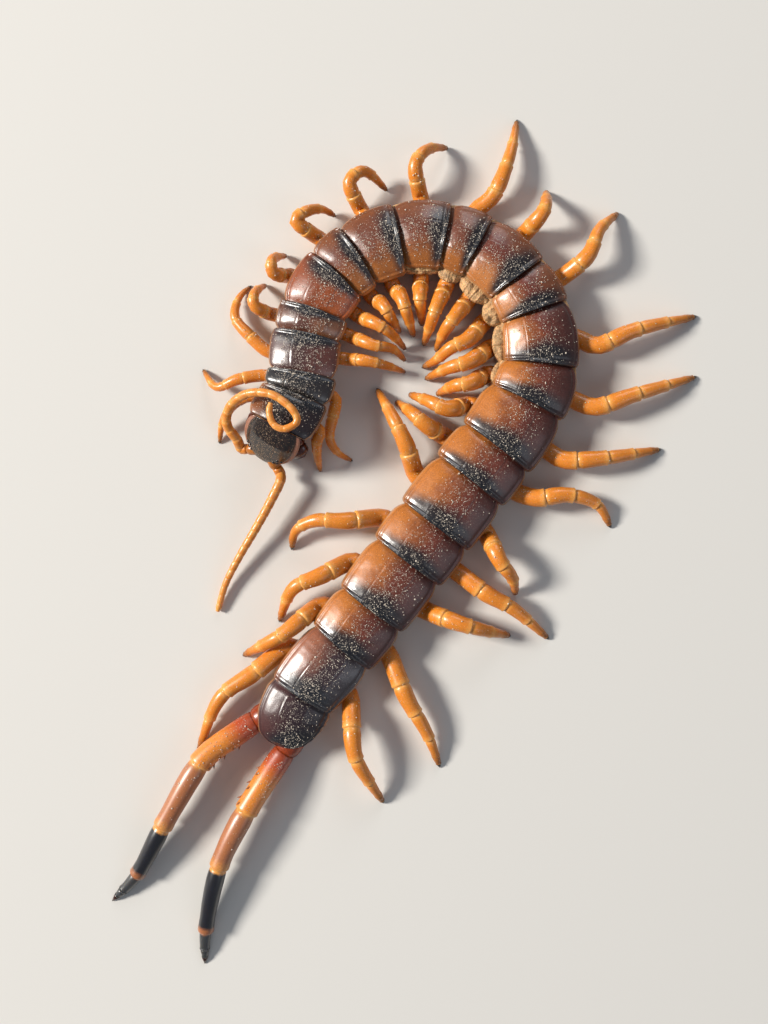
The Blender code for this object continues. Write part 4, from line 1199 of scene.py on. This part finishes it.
def leg_root(number, side):
    """The centre and the direction of the face that a walking leg grows from."""
    sign, middle = SIDES[side], float(MIDDLES[number - 1])
    height = float(back_height(middle)) * LEG_ROOT_HEIGHT_SHARE
    root = body_points(middle, sign * float(half_width(middle)) * LEG_ROOT_SHARE, height)
    back = SPINE.heading(middle)
    left = np.array([back[1], -back[0]])
    towards = unit(np.array(LEG_PLANS[side][number - 1][0]) - root[:2])
    out = unit(left * sign * LEG_SPLAY + towards)
    return root, np.array([*out, 0.0])


def arched(plan, root, start_height, arch):
    """A leg's curve in space over its plan: up from the root, over the knee and down to the floor."""
    flat = Line(smooth_curve([root, *plan], 16))
    points = []
    for distance, point in zip(flat.reach, flat.curve):
        share = max(0.0, distance - LEG_LEVEL) / (flat.length - LEG_LEVEL)
        height = TIP_HEIGHT + (start_height - TIP_HEIGHT) * (1 - share)
        points.append([*point, height + arch * math.sin(math.pi * share ** 0.85)])
    return Line(np.array(points))


def leg_line(number, side):
    """The middle line of a walking leg. What its length leaves over its plan goes into its arch."""
    root, out = leg_root(number, side)
    start = root + out * GAP
    base, growth = LEG_LENGTH
    wanted = base + growth * number
    plan = [start[:2] + out[:2] * LEG_STUB, *LEG_PLANS[side][number - 1]]
    raised = float(lift(MIDDLES[number - 1]))
    low, high = (max(0.0, arch - raised) for arch in LEG_ARCH)
    for _ in range(12):
        arch = (low + high) / 2
        line = arched(plan, start[:2], start[2], arch)
        low, high = (low, arch) if line.length > wanted else (arch, high)
    return line


def leg_radius(number):
    """The root radius of a walking leg."""
    return float(np.interp(number, LEG_RADIUS_AT, LEG_RADIUS)) * LEG_ROUNDNESS


def hip_shape(number, side):
    """The short hip between the flank and a walking leg, with its collar."""
    root, out = leg_root(number, side)
    return tube(straight(root - out * HIP_DEPTH, root), HIP_PROFILE, leg_radius(number), 24)


def leg_shape(number, side):
    """One walking leg of five articles, with two spurs beside its claw and dust on top."""
    _, out = leg_root(number, side)
    line = leg_line(number, side)
    radius = leg_radius(number)
    profile = articulated(LEG_ARTICLES)
    shapes = [tube(line, profile, radius, 20, out, on_floor=True)]
    found = limb_grains(
        line, profile, radius, LEG_DUST_REACH, LEG_GRAINS, LEG_DUST_SEED + number * SIDES[side]
    )
    dust = grains(*found, number)
    shapes.append((*dust, np.tile((2.0, 0.5), (len(dust[0]), 1))))
    for turn in (1, -1):
        place = SPUR_PLACE * line.length
        ahead = line.heading(place)
        across = unit(np.cross(ahead, UP)) * turn
        foot = line.at(place) + across * radius * SPUR_SIDE
        tip = foot + np.array(SPUR_REACH) @ np.array([ahead, across, UP])
        for end, lowest in zip((foot, tip), SPUR_HEIGHTS):
            end[2] = max(end[2], lowest)
        spur = cone(foot, tip, SPUR_RADIUS, 6)
        shapes.append((spur[0], spur[1], np.tile((0.5, 0.95), (len(spur[0]), 1))))
    points, faces, places = joined(shapes)
    points[:, 2] = np.maximum(points[:, 2], 0.0)
    return points, faces, places


def end_leg_root(side):
    """The centre and the direction of the face that a last leg grows from."""
    root = np.array([*END_LEG_ROOTS[side], END_LEG_ROOT_HEIGHT])
    out = unit(np.array(END_LEG_PLANS[side][0]) - root[:2])
    return root, np.array([*out, 0.0])


def end_leg_line(side):
    """The middle line of a last leg."""
    root, out = end_leg_root(side)
    start = root + out * GAP
    return arched(END_LEG_PLANS[side], start[:2], start[2], END_LEG_ARCH)


def end_leg_profile(side):
    """The places and radii along a last leg: three stout articles and a two-part foot."""
    first, second, third = END_LEG_JOINTS[side]
    fourth, claw = END_LEG_FOOT
    return articulated((
        (-0.01, first, 0.97, 0.96), (first, second, 0.88, 0.80), (second, third, 0.73, 0.65),
        (third, fourth, 0.47, 0.42), (fourth, claw, 0.36, 0.27),
    ))


def end_leg_shape(side):
    """A last leg without its spines."""
    _, root_way = end_leg_root(side)
    return tube(end_leg_line(side), end_leg_profile(side), END_LEG_RADIUS * 0.97, 32, root_way, on_floor=True)


def end_leg_spines(side):
    """The short spines on the inner edge of a last leg's first article."""
    line = end_leg_line(side)
    shapes = []
    for row in SPINE_ROWS:
        place = row * line.length
        for rise, stand in SPINE_WAYS:
            inwards = unit(np.cross(line.heading(place), UP)) * -SIDES[side]
            way = unit(inwards + UP * rise)
            foot = line.at(place) + way * END_LEG_RADIUS * SPINE_FOOT
            tip = line.at(place + SPINE_LEAN) + way * (END_LEG_RADIUS + stand)
            shapes.append(cone(foot, tip, SPINE_RADIUS, 12))
            place += SPINE_STEP
    return joined(shapes)


def head_axes():
    """The hinge of the head and its directions forward, to the left and up."""
    back = SPINE.heading(0.0)
    heading = math.atan2(-back[1], -back[0]) + HEAD_YAW
    level = np.array([math.cos(heading), math.sin(heading), 0.0])
    left = np.array([-level[1], level[0], 0.0])
    forward = level * math.cos(HEAD_PITCH) - UP * math.sin(HEAD_PITCH)
    hinge = np.array([*(SPINE.at(0.0) - back * (GAP / 2)), HEAD_HINGE_HEIGHT])
    return hinge, forward, left, level * math.sin(HEAD_PITCH) + UP * math.cos(HEAD_PITCH)


HEAD_AXES = head_axes()


def head_points(ahead, side, above):
    """Points in the tilted frame of the head."""
    hinge, forward, left, up = HEAD_AXES
    ahead, side, above = same_shape(ahead, side, above)
    return hinge + ahead[..., None] * forward + side[..., None] * left + above[..., None] * up


def head_outline(share):
    """Half the width of the head plate from its rear edge to its front."""
    return HEAD_HALF_WIDTH * np.interp(share, HEAD_STEPS, HEAD_WIDTHS)


def head_thickness(share):
    """Half the thickness of the head from its rear to its front."""
    return HEAD_HALF_THICKNESS * np.interp(share, (0.0, 0.3, 0.8, 1.0), (1.0, 1.05, 0.8, 0.45))


def head_surface(share, side, above):
    """Points of the head, turned from upright at the neck to the tilt of the head further on."""
    share, side, above = same_shape(share, side, above)
    tilted = head_points(HEAD_LENGTH * share, side * head_outline(share), above * head_thickness(share))
    back = SPINE.heading(0.0)
    left = np.array([back[1], -back[0], 0.0])
    centre = SPINE.at(0.0)
    middle = head_points(HEAD_LENGTH * share, 0.0, 0.0)
    ahead = (middle[..., :2] - centre) @ -back
    face = np.concatenate([centre - back * ahead[..., None], np.zeros((*ahead.shape, 1))], axis=-1)
    along = ((tilted - face) @ left)[..., None]
    upright = face + left * along
    upright[..., 2] = tilted[..., 2]
    tilt = np.clip(share / NECK_SHARE, 0, 1)[..., None]
    return upright * (1 - tilt) + tilted * tilt


def head_dome(share, side):
    """How far the shield stands over the middle of the head, with two faint furrows and a beaded edge."""
    reach = np.abs(side)
    dome = 1.06 * np.sqrt(np.maximum(0.0, 1 - reach ** 2.3)) - 0.02
    furrow = 0.05 * bell((reach - 0.3 - 0.15 * share) * 4.0, 0.13) * np.clip((0.85 - share) * 5, 0, 1)
    bead = 0.08 * bell((reach - 0.95) * 4.0, 0.16) - 0.05 * bell((reach - 0.86) * 4.0, 0.16)
    return dome - furrow + bead


def shield_shape():
    """The plate over the head."""
    sides = in_order(np.linspace(-1, 1, 61), (-0.97, -0.985, 0.97, 0.985))
    rows = np.concatenate([np.linspace(0.0, 0.94, 44), (0.96, 0.975, 0.988, 1.0)]) * SHIELD_REACH
    grid_side, grid_row = np.meshgrid(sides, rows)
    tops = head_surface(grid_row, grid_side * SHIELD_SHARE, head_dome(grid_row, grid_side))
    tops[..., 2] += 0.02 * ripple(tops, 1.4, 3) * (1 - np.abs(grid_side))
    below = head_dome(grid_row, grid_side) - SHIELD_THICKNESS
    unders = head_surface(grid_row, grid_side * 0.985 * SHIELD_SHARE, below)
    mids = head_surface(rows[:, None], np.array([[-1.015, 1.015]]) * SHIELD_SHARE, -0.12)
    return plate_shell(tops, unders, mids)


def face_shape():
    """The face under the shield, flatter above than below."""
    turns = circle(48)
    above = np.where(np.sin(turns) > 0, FACE_RISE, FACE_DROP) * np.sin(turns)
    above = np.sign(above) * np.abs(above) ** FACE_POWER - 0.02
    rows = (*np.linspace(0.0, 0.9, 26), 0.94, 0.97, 0.99, 1.01)
    return loft([head_surface(row, np.cos(turns) * (0.99 if row < 0.95 else 1.0), above) for row in rows])


def claw_plate_shape():
    """The plate that carries the poison claws, with a shallow furrow along its middle."""
    out, up = np.cos(circle(40)), np.sin(circle(40))
    up = up * (1 - 0.08 * bell(out, 0.06))
    return loft([
        head_points(ahead, half * out, FANG_DEPTH + thick * up) for ahead, half, thick in CLAW_PLATE_ROWS
    ])


def teeth_shape(side):
    """One tooth plate at the front of the claws' plate."""
    teeth = []
    for number in range(TEETH):
        foot, tip = (
            head_points(ahead + number * on, SIDES[side] * (out + number * by), FANG_DEPTH + above)
            for (ahead, out, above), (on, by) in TOOTH_ENDS
        )
        teeth.append(cone(foot, tip, TOOTH_RADIUS))
    return joined(teeth)


def feeler_root(side):
    """The centre and the direction of the face that a feeler grows from."""
    places = (FEELER_ROOT, FEELER_AXIS)
    root, axis = (head_points(ahead, out * SIDES[side], above) for ahead, out, above in places)
    return root, unit(root - axis)


def feeler_shape(side):
    """One feeler of eighteen articles, each swelling between two narrow joints."""
    rows = []
    ratio = FEELER_RADIUS[1] / FEELER_RADIUS[0]
    for article in range(FEELER_ARTICLES):
        start = article / FEELER_ARTICLES
        thick = 1 + (ratio - 1) * start
        for step, share in FEELER_SWELL:
            end = 1.0 if article < FEELER_ARTICLES - 1 or step < 0.8 else 0.72
            rows.append((start + step / FEELER_ARTICLES, thick * share * end * 0.97))
    socket, ahead = feeler_root(side)
    line = Line(smooth_curve([socket + ahead * GAP, socket + ahead * 1.2, *FEELERS[side]]))
    rows[0] = (-0.005, rows[0][1])
    return tube(line, rows, FEELER_RADIUS[0], 20, ahead)


def fang_root(side):
    """The centre and the direction of the face that a poison claw grows from."""
    root, axis = (head_points(ahead, out * SIDES[side], FANG_DEPTH) for ahead, out in (FANG_ROOT, FANG_AXIS))
    return root, unit(root - axis)


def fang_line(side):
    """The middle line of a poison claw."""
    root, out = fang_root(side)
    bends = [head_points(ahead, out_by * SIDES[side], FANG_DEPTH) for ahead, out_by in FANG_BENDS]
    return Line(smooth_curve([root + out * GAP, root + out * 0.9, *bends]))


def spiracle_place(number, side):
    """The centre of a breathing hole and the direction it faces."""
    place = float(EDGES[number - 1] + (EDGES[number] - EDGES[number - 1]) * SPIRACLE_PLACE)
    centre = body_points(place, SIDES[side] * SPIRACLE_SHARE * float(half_width(place)), SPIRACLE_HEIGHT)
    return centre, unit(centre - body_points(place, 0.0, SPIRACLE_HEIGHT))


def grains(points, normals, sizes_mm, seed):
    """Small angular grains of dust pressed into a surface."""
    draw = np.random.default_rng(seed)
    corners = np.array([(1, 0, 0), (-1, 0, 0), (0, 1, 0), (0, -1, 0), (0, 0, 1), (0, 0, -1)], float)
    sides = [(0, 2, 4), (2, 1, 4), (1, 3, 4), (3, 0, 4), (2, 0, 5), (1, 2, 5), (3, 1, 5), (0, 3, 5)]
    all_points, faces = [], []
    for number, (point, normal, size) in enumerate(zip(points, normals, sizes_mm)):
        turn = np.linalg.qr(draw.normal(size=(3, 3)))[0]
        if np.linalg.det(turn) < 0:
            turn[:, 0] *= -1
        shape = (corners * draw.uniform(0.7, 1.3, size=(6, 1))) @ turn.T
        all_points.append(point + normal * size * GRAIN_STAND + shape * size)
        faces += [tuple(number * 6 + i for i in side) for side in sides]
    return np.concatenate(all_points), faces


def plate_grains(number, count):
    """Places, directions and sizes for the dust on a back plate, thickest at the middle and over the rear."""
    draw = np.random.default_rng(PLATE_DUST_SEED + number)
    share = LONG_DUST if number in LONG_PLATES else SHORT_DUST
    count = int(count * share * (THIN_DUST if number in THIN_DUST_PLATES else 1.0))
    spread = float(np.interp(number, DUST_SPREAD_AT, DUST_SPREAD))
    share = np.clip(draw.normal(-0.04, spread, count), -0.93, 0.93)
    along = np.clip(1 - draw.beta(1.25, 1.7, count), 0.08, 0.985)
    here = plate_top(number, share, along)
    ahead = plate_top(number, share, np.clip(along + 0.01, 0, 1)) - here
    across = plate_top(number, share + 0.01, along) - here
    normal = np.cross(across, ahead)
    normal = normal / np.linalg.norm(normal, axis=1, keepdims=True)
    normal = normal * np.sign(normal[:, 2:])
    return here, normal, sizes()["grain"] * np.exp(draw.normal(0, GRAIN_VARIETY, count))


def head_grains(count):
    """Places, directions and sizes for the finer dust on the head."""
    draw = np.random.default_rng(HEAD_DUST_SEED)
    side = np.clip(draw.normal(-0.22, 0.46, count), -0.92, 0.92)
    row = draw.uniform(0.04, 0.97, count) * SHIELD_REACH
    here = head_surface(row, side * SHIELD_SHARE, head_dome(row, side))
    size = HEAD_GRAIN_SHARE * sizes()["grain"] * np.exp(draw.normal(0, GRAIN_VARIETY, count))
    return here, np.tile(HEAD_AXES[3], (count, 1)), size


def limb_grains(line, profile, radius, reach, count, seed):
    """Places, directions and sizes for the dust on top of a limb, thickest near its root."""
    draw = np.random.default_rng(seed)
    place = np.clip(0.02 + draw.beta(1.0, 2.6, count) * reach, 0.02, reach - 0.03)
    turn = draw.normal(0, 0.6, count)
    ahead = line.heading(place * line.length)
    out = np.cross(ahead, UP)
    out = out / np.linalg.norm(out, axis=1, keepdims=True)
    way = out * np.sin(turn)[:, None] + np.cross(out, ahead) * np.cos(turn)[:, None]
    around = np.interp(place, *zip(*profile)) * radius
    size = sizes()["grain"] * np.exp(draw.normal(0, GRAIN_VARIETY, count))
    return line.at(place * line.length) + way * around[:, None], way, size


class CentipedeOperator(bpy.types.Operator):
    """What the operators of the centipede share."""

    bl_options = {"REGISTER", "UNDO"}


class CENTIPEDE_OT_back_plates(CentipedeOperator):
    """Builds the twenty-one back plates"""

    bl_idname = "centipede.back_plates"
    bl_label = "Back plates"

    def execute(self, context):
        for tone, (numbers, _, _) in PLATE_TONES.items():
            for number in numbers:
                trunk_piece(f"back_plate_{number:02d}", back_plate_shape(number), plate_finish(tone), number)
        return {"FINISHED"}


class CENTIPEDE_OT_flanks(CentipedeOperator):
    """Builds the soft flanks between the back plates and the belly plates"""

    bl_idname = "centipede.flanks"
    bl_label = "Flanks"

    def execute(self, context):
        for number in range(1, SEGMENTS + 1):
            trunk_piece(f"flank_{number:02d}", flank_shape(number), membrane_finish(), number)
        return {"FINISHED"}


class CENTIPEDE_OT_spiracles(CentipedeOperator):
    """Builds the breathing holes in the flanks, each a low oval ring round a dark slit"""

    bl_idname = "centipede.spiracles"
    bl_label = "Breathing holes"

    def execute(self, context):
        ring = mottled_finish("spiracle_ring_cuticle", darker(tint("fang"), 1.2), 0.35, 0.3, size=0.12)
        slit = mottled_finish("spiracle_slit", darker(tint("fang_tip"), 0.6), 0.6, 0.0, size=0.12)
        for side in SIDES:
            for number in SPIRACLES:
                if side == "left" and number in SQUEEZED:
                    continue
                centre, out = spiracle_place(number, side)
                rim = straight(centre - out * SPIRACLE_DEPTH, centre + out * SPIRACLE_RISE)
                shape = tube(rim, SPIRACLE_RIM, SPIRACLE_RADIUS, 20, flat=0.62)
                trunk_piece(f"spiracle_{number:02d}_{side}", shape, ring, number)
                inner = straight(centre, centre + out * SLIT_RISE)
                shape = tube(inner, SLIT_PROFILE, SPIRACLE_RADIUS * SLIT_SHARE, 16, flat=0.45)
                trunk_piece(f"spiracle_slit_{number:02d}_{side}", shape, slit, number)
        return {"FINISHED"}


class CENTIPEDE_OT_belly_plates(CentipedeOperator):
    """Builds the belly plates that the animal rests on"""

    bl_idname = "centipede.belly_plates"
    bl_label = "Belly plates"

    def execute(self, context):
        finish = mottled_finish("belly_plate_cuticle", tint("belly"), 0.36, 0.2)
        for number in range(1, SEGMENTS + 1):
            trunk_piece(f"belly_plate_{number:02d}", belly_plate_shape(number), finish, number)
        return {"FINISHED"}


class CENTIPEDE_OT_hips(CentipedeOperator):
    """Builds the hips that the legs grow from"""

    bl_idname = "centipede.hips"
    bl_label = "Hips"

    def execute(self, context):
        finish = mottled_finish("hip_cuticle", darker(tint("leg"), 0.7), 0.36, 0.2)
        last_finish = mottled_finish("last_hip_cuticle", darker(tint("end_root"), 0.6), 0.34, 0.25)
        for side in SIDES:
            for number in range(1, SEGMENTS):
                trunk_piece(f"hip_{number:02d}_{side}", hip_shape(number, side), finish, number)
            root, out = end_leg_root(side)
            shape = tube(straight(root - out * LAST_HIP_DEPTH, root), LAST_HIP_PROFILE, END_LEG_RADIUS, 32)
            trunk_piece(f"hip_21_{side}", shape, last_finish, SEGMENTS)
        return {"FINISHED"}


class CENTIPEDE_OT_head(CentipedeOperator):
    """Builds the shield of the head, the face under it and the sockets of the feelers"""

    bl_idname = "centipede.head"
    bl_label = "Head"

    def execute(self, context):
        head_piece("head_shield", shield_shape(), head_finish())
        head_piece("face", face_shape(), mottled_finish("face_cuticle", tint("face"), 0.34, 0.3))
        finish = mottled_finish("feeler_socket_cuticle", darker(tint("leg"), 0.6), 0.34, 0.3)
        for side in SIDES:
            socket, ahead = feeler_root(side)
            neck = straight(socket - ahead * SOCKET_DEPTH, socket)
            shape = tube(neck, SOCKET_PROFILE, FEELER_RADIUS[0] + 0.08, 24)
            head_piece(f"feeler_socket_{side}", shape, finish)
        return {"FINISHED"}


class CENTIPEDE_OT_eyes(CentipedeOperator):
    """Builds the four simple eyes on each side of the head"""

    bl_idname = "centipede.eyes"
    bl_label = "Eyes"

    def execute(self, context):
        finish = mottled_finish("eye_lens", tint("eye"), 0.06, 1.0, size=0.12, depth=0.001)
        for side, sign in SIDES.items():
            for number, (row, out) in enumerate(EYES, 1):
                place = head_surface(row, out * sign * SHIELD_SHARE, head_dome(row, out * sign))
                head_piece(f"eye_{side}_{number}", ball(place - HEAD_AXES[3] * EYE_SUNK, EYE_RADIUS), finish)
        return {"FINISHED"}


class CENTIPEDE_OT_palps(CentipedeOperator):
    """Builds the two palps folded between the face and the poison claws"""

    bl_idname = "centipede.palps"
    bl_label = "Palps"

    def execute(self, context):
        finish = mottled_finish("palp_cuticle", blend(tint("fang"), tint("leg"), 0.45), 0.3, 0.3)
        for side, sign in SIDES.items():
            line = Line(smooth_curve([head_points(ahead, out * sign, above) for ahead, out, above in PALP]))
            head_piece(f"palp_{side}", tube(line, articulated(PALP_ARTICLES), PALP_RADIUS, 20), finish)
        return {"FINISHED"}


class CENTIPEDE_OT_poison_claws(CentipedeOperator):
    """Builds the poison claws, the plate that carries them and its tooth plates"""

    bl_idname = "centipede.poison_claws"
    bl_label = "Poison claws"

    def execute(self, context):
        fang, tip = tint("fang"), tint("fang_tip")
        finish = mottled_finish("poison_claw_cuticle", fang, 0.22, 0.5)
        # The claws darken towards their points.
        stops = (0.0, fang), (0.7, fang), (0.86, tip)
        tip_finish = banded_finish("poison_tip_cuticle", stops, roughness=0.2, dust=0.0, coat=(0.6, 0.14))
        trunk_piece("poison_claw_plate", claw_plate_shape(), finish, 1)
        for side in SIDES:
            root, out = fang_root(side)
            shape = tube(straight(root - out * SOCKET_DEPTH, root), FANG_JOINT_PROFILE, FANG_RADIUS, 24)
            trunk_piece(f"poison_claw_joint_{side}", shape, finish, 1)
            line, node = fang_line(side), f"forcipule_{side}"
            shape = tube(line, FANG_PROFILE, FANG_RADIUS * 0.97, 28, out)
            piece(f"poison_claw_{side}", shape, finish, "fang_cuticle", node)
            shape = tube(line, FANG_TIP_PROFILE, FANG_RADIUS * 0.99, 24)
            piece(f"poison_claw_tip_{side}", shape, tip_finish, "fang_cuticle", node)
            trunk_piece(f"tooth_plate_{side}", teeth_shape(side), tip_finish, 1)
        return {"FINISHED"}


class CENTIPEDE_OT_feelers(CentipedeOperator):
    """Builds the two feelers"""

    bl_idname = "centipede.feelers"
    bl_label = "Feelers"

    def execute(self, context):
        for side in SIDES:
            piece(f"feeler_{side}", feeler_shape(side), feeler_finish(), "orange_cuticle", f"antenna_{side}")
        return {"FINISHED"}


class CENTIPEDE_OT_walking_legs(CentipedeOperator):
    """Builds the forty walking legs"""

    bl_idname = "centipede.walking_legs"
    bl_label = "Walking legs"

    def execute(self, context):
        for number in range(1, SEGMENTS):
            for side in SIDES:
                node = f"leg_{number:02d}_{side}"
                piece(f"walking_{node}", leg_shape(number, side), leg_finish(), "orange_cuticle", node)
        return {"FINISHED"}


class CENTIPEDE_OT_leg_claws(CentipedeOperator):
    """Builds the claw at the end of each leg"""

    bl_idname = "centipede.leg_claws"
    bl_label = "Leg claws"

    def execute(self, context):
        finish = mottled_finish("leg_claw_cuticle", tint("claw"), 0.22, 0.4)
        for side in SIDES:
            for number in range(1, SEGMENTS):
                leg = f"{number:02d}_{side}"
                shape = tube(leg_line(number, side), CLAW_PROFILE, leg_radius(number), 12, on_floor=True)
                piece(f"claw_{leg}", shape, finish, "orange_cuticle", f"leg_{leg}")
            shape = tube(end_leg_line(side), LAST_CLAW_PROFILE, END_LEG_RADIUS, 16, on_floor=True)
            piece(f"claw_21_{side}", shape, finish, "dark_end_leg", f"leg_21_{side}")
        return {"FINISHED"}


class CENTIPEDE_OT_last_legs(CentipedeOperator):
    """Builds the stout last pair of legs and their spines"""

    bl_idname = "centipede.last_legs"
    bl_label = "Last legs"

    def execute(self, context):
        spine_finish = mottled_finish("spine_cuticle", darker(tint("end_middle"), 0.8), 0.3, 0.3)
        for side in SIDES:
            node = f"leg_21_{side}"
            piece(f"last_{node}", end_leg_shape(side), end_leg_finish(side), "dark_end_leg", node)
            piece(f"spines_{side}", end_leg_spines(side), spine_finish, "dark_end_leg", node)
        return {"FINISHED"}


class CENTIPEDE_OT_dust(CentipedeOperator):
    """Scatters grains of dust over the back plates, the head and the last legs"""

    bl_idname = "centipede.dust"
    bl_label = "Dust"

    def execute(self, context):
        finish = mottled_finish("dust_grain", tint("dust"), 0.7, 0.0, size=0.08)
        head_dust = mottled_finish("head_dust_grain", tint("head_dust"), 0.6, 0.0, size=0.08)
        kept = context.scene.centipede_sizes
        for first in range(1, SEGMENTS, SEGMENTS_PER_LENGTH):
            numbers = range(first, first + SEGMENTS_PER_LENGTH)
            found = [plate_grains(number, kept.back_grains) for number in numbers]
            shape = grains(*(np.concatenate(column) for column in zip(*found)), first)
            trunk_piece(f"dust_{first:02d}", shape, finish, first, turn_out=False)
        shape = grains(*head_grains(kept.head_grains), HEAD_DUST_SEED + 1)
        head_piece("dust_head", shape, head_dust, turn_out=False)
        for side, seed in END_LEG_DUST_SEEDS.items():
            found = limb_grains(
                end_leg_line(side), end_leg_profile(side), END_LEG_RADIUS * 0.97, END_LEG_JOINTS[side][1],
                kept.leg_grains, seed,
            )
            shape = grains(*found, seed)
            piece(f"dust_leg_{side}", shape, finish, "dark_end_leg", f"leg_21_{side}", turn_out=False)
        return {"FINISHED"}


def lamp(name, place, width, power, colour):
    """A square area light aimed at the origin, its place in millimetres."""
    data = bpy.data.lights.new(name, "AREA")
    data.shape = "SQUARE"
    data.size = width * MM
    data.energy = power
    data.color = colour
    made = link(name, data)
    made.location = np.array(place) * MM
    made.rotation_euler = Vector(-np.array(place) * MM).to_track_quat("-Z", "Y").to_euler()


class CENTIPEDE_OT_stage(CentipedeOperator):
    """Sets up the pale floor, the soft lights and the camera"""

    bl_idname = "centipede.stage"
    bl_label = "Stage"

    def execute(self, context):
        corners = FLOOR_SIZE / 2 * np.array([(-1, -1, 0), (1, -1, 0), (1, 1, 0), (-1, 1, 0)])
        # Matt paper.
        finish, _, _ = new_finish("floor_paper", {
            "IOR": PAPER_IOR, "Roughness": 0.9, "Base Color": tint("floor"),
        })
        shape = corners + np.array([*PLAN_CENTRE, 0.0]), [(0, 1, 2, 3)]
        floor = mesh_object("floor", shape, finish, turn_out=False)
        context.scene.world = bpy.data.worlds.new("studio")
        context.scene.world.use_nodes = True
        tree = context.scene.world.node_tree
        feed(tree, tree.nodes["Background"], {"Color": tint("sky"), "Strength": SKY_STRENGTH})
        for name, row in LAMPS.items():
            lamp(name, *row)
        context.scene.view_settings.view_transform = "Standard"
        data = bpy.data.cameras.new("camera")
        data.sensor_width = SENSOR
        data.lens = SENSOR * CAMERA_HEIGHT / (PHOTO_LONG_SIDE * PIXEL)
        data.clip_start = MM
        camera = link("camera", data)
        camera.location = (-PLAN_CENTRE[0] * MM, -PLAN_CENTRE[1] * MM, CAMERA_HEIGHT * MM)
        context.scene.camera = camera
        return {"FINISHED"}


OPERATORS = (
    CENTIPEDE_OT_back_plates, CENTIPEDE_OT_flanks, CENTIPEDE_OT_spiracles, CENTIPEDE_OT_belly_plates,
    CENTIPEDE_OT_hips, CENTIPEDE_OT_head, CENTIPEDE_OT_eyes, CENTIPEDE_OT_palps, CENTIPEDE_OT_poison_claws,
    CENTIPEDE_OT_feelers, CENTIPEDE_OT_walking_legs, CENTIPEDE_OT_leg_claws, CENTIPEDE_OT_last_legs,
    CENTIPEDE_OT_dust, CENTIPEDE_OT_stage,
)


class CENTIPEDE_PT_build(bpy.types.Panel):
    """Lists the steps, the sizes and the colours of the centipede"""

    bl_idname = "CENTIPEDE_PT_build"
    bl_label = "Giant centipede"
    bl_space_type = "VIEW_3D"
    bl_region_type = "UI"
    bl_category = "Centipede"

    def draw(self, context):
        for operator in OPERATORS:
            self.layout.operator(operator.bl_idname)
        for group in (context.scene.centipede_sizes, context.scene.centipede_colours):
            box = self.layout.box()
            for name in group.__annotations__:
                box.prop(group, name)


CLASSES = (CentipedeSizes, CentipedeColours, *OPERATORS, CENTIPEDE_PT_build)


def register():
    """Makes the classes and the settings known."""
    for kind in CLASSES:
        bpy.utils.register_class(kind)
    bpy.types.Scene.centipede_sizes = PointerProperty(type=CentipedeSizes)
    bpy.types.Scene.centipede_colours = PointerProperty(type=CentipedeColours)


def unregister():
    """Takes the settings and the classes away again."""
    del bpy.types.Scene.centipede_colours
    del bpy.types.Scene.centipede_sizes
    for kind in reversed(CLASSES):
        bpy.utils.unregister_class(kind)


def main():
    """Builds every piece in order and keeps the size of the frame and of the model."""
    register()
    for operator in OPERATORS:
        group, name = operator.bl_idname.split(".")
        getattr(getattr(bpy.ops, group), name)()
    bpy.context.view_layer.update()


if __name__ == "__main__":
    main()
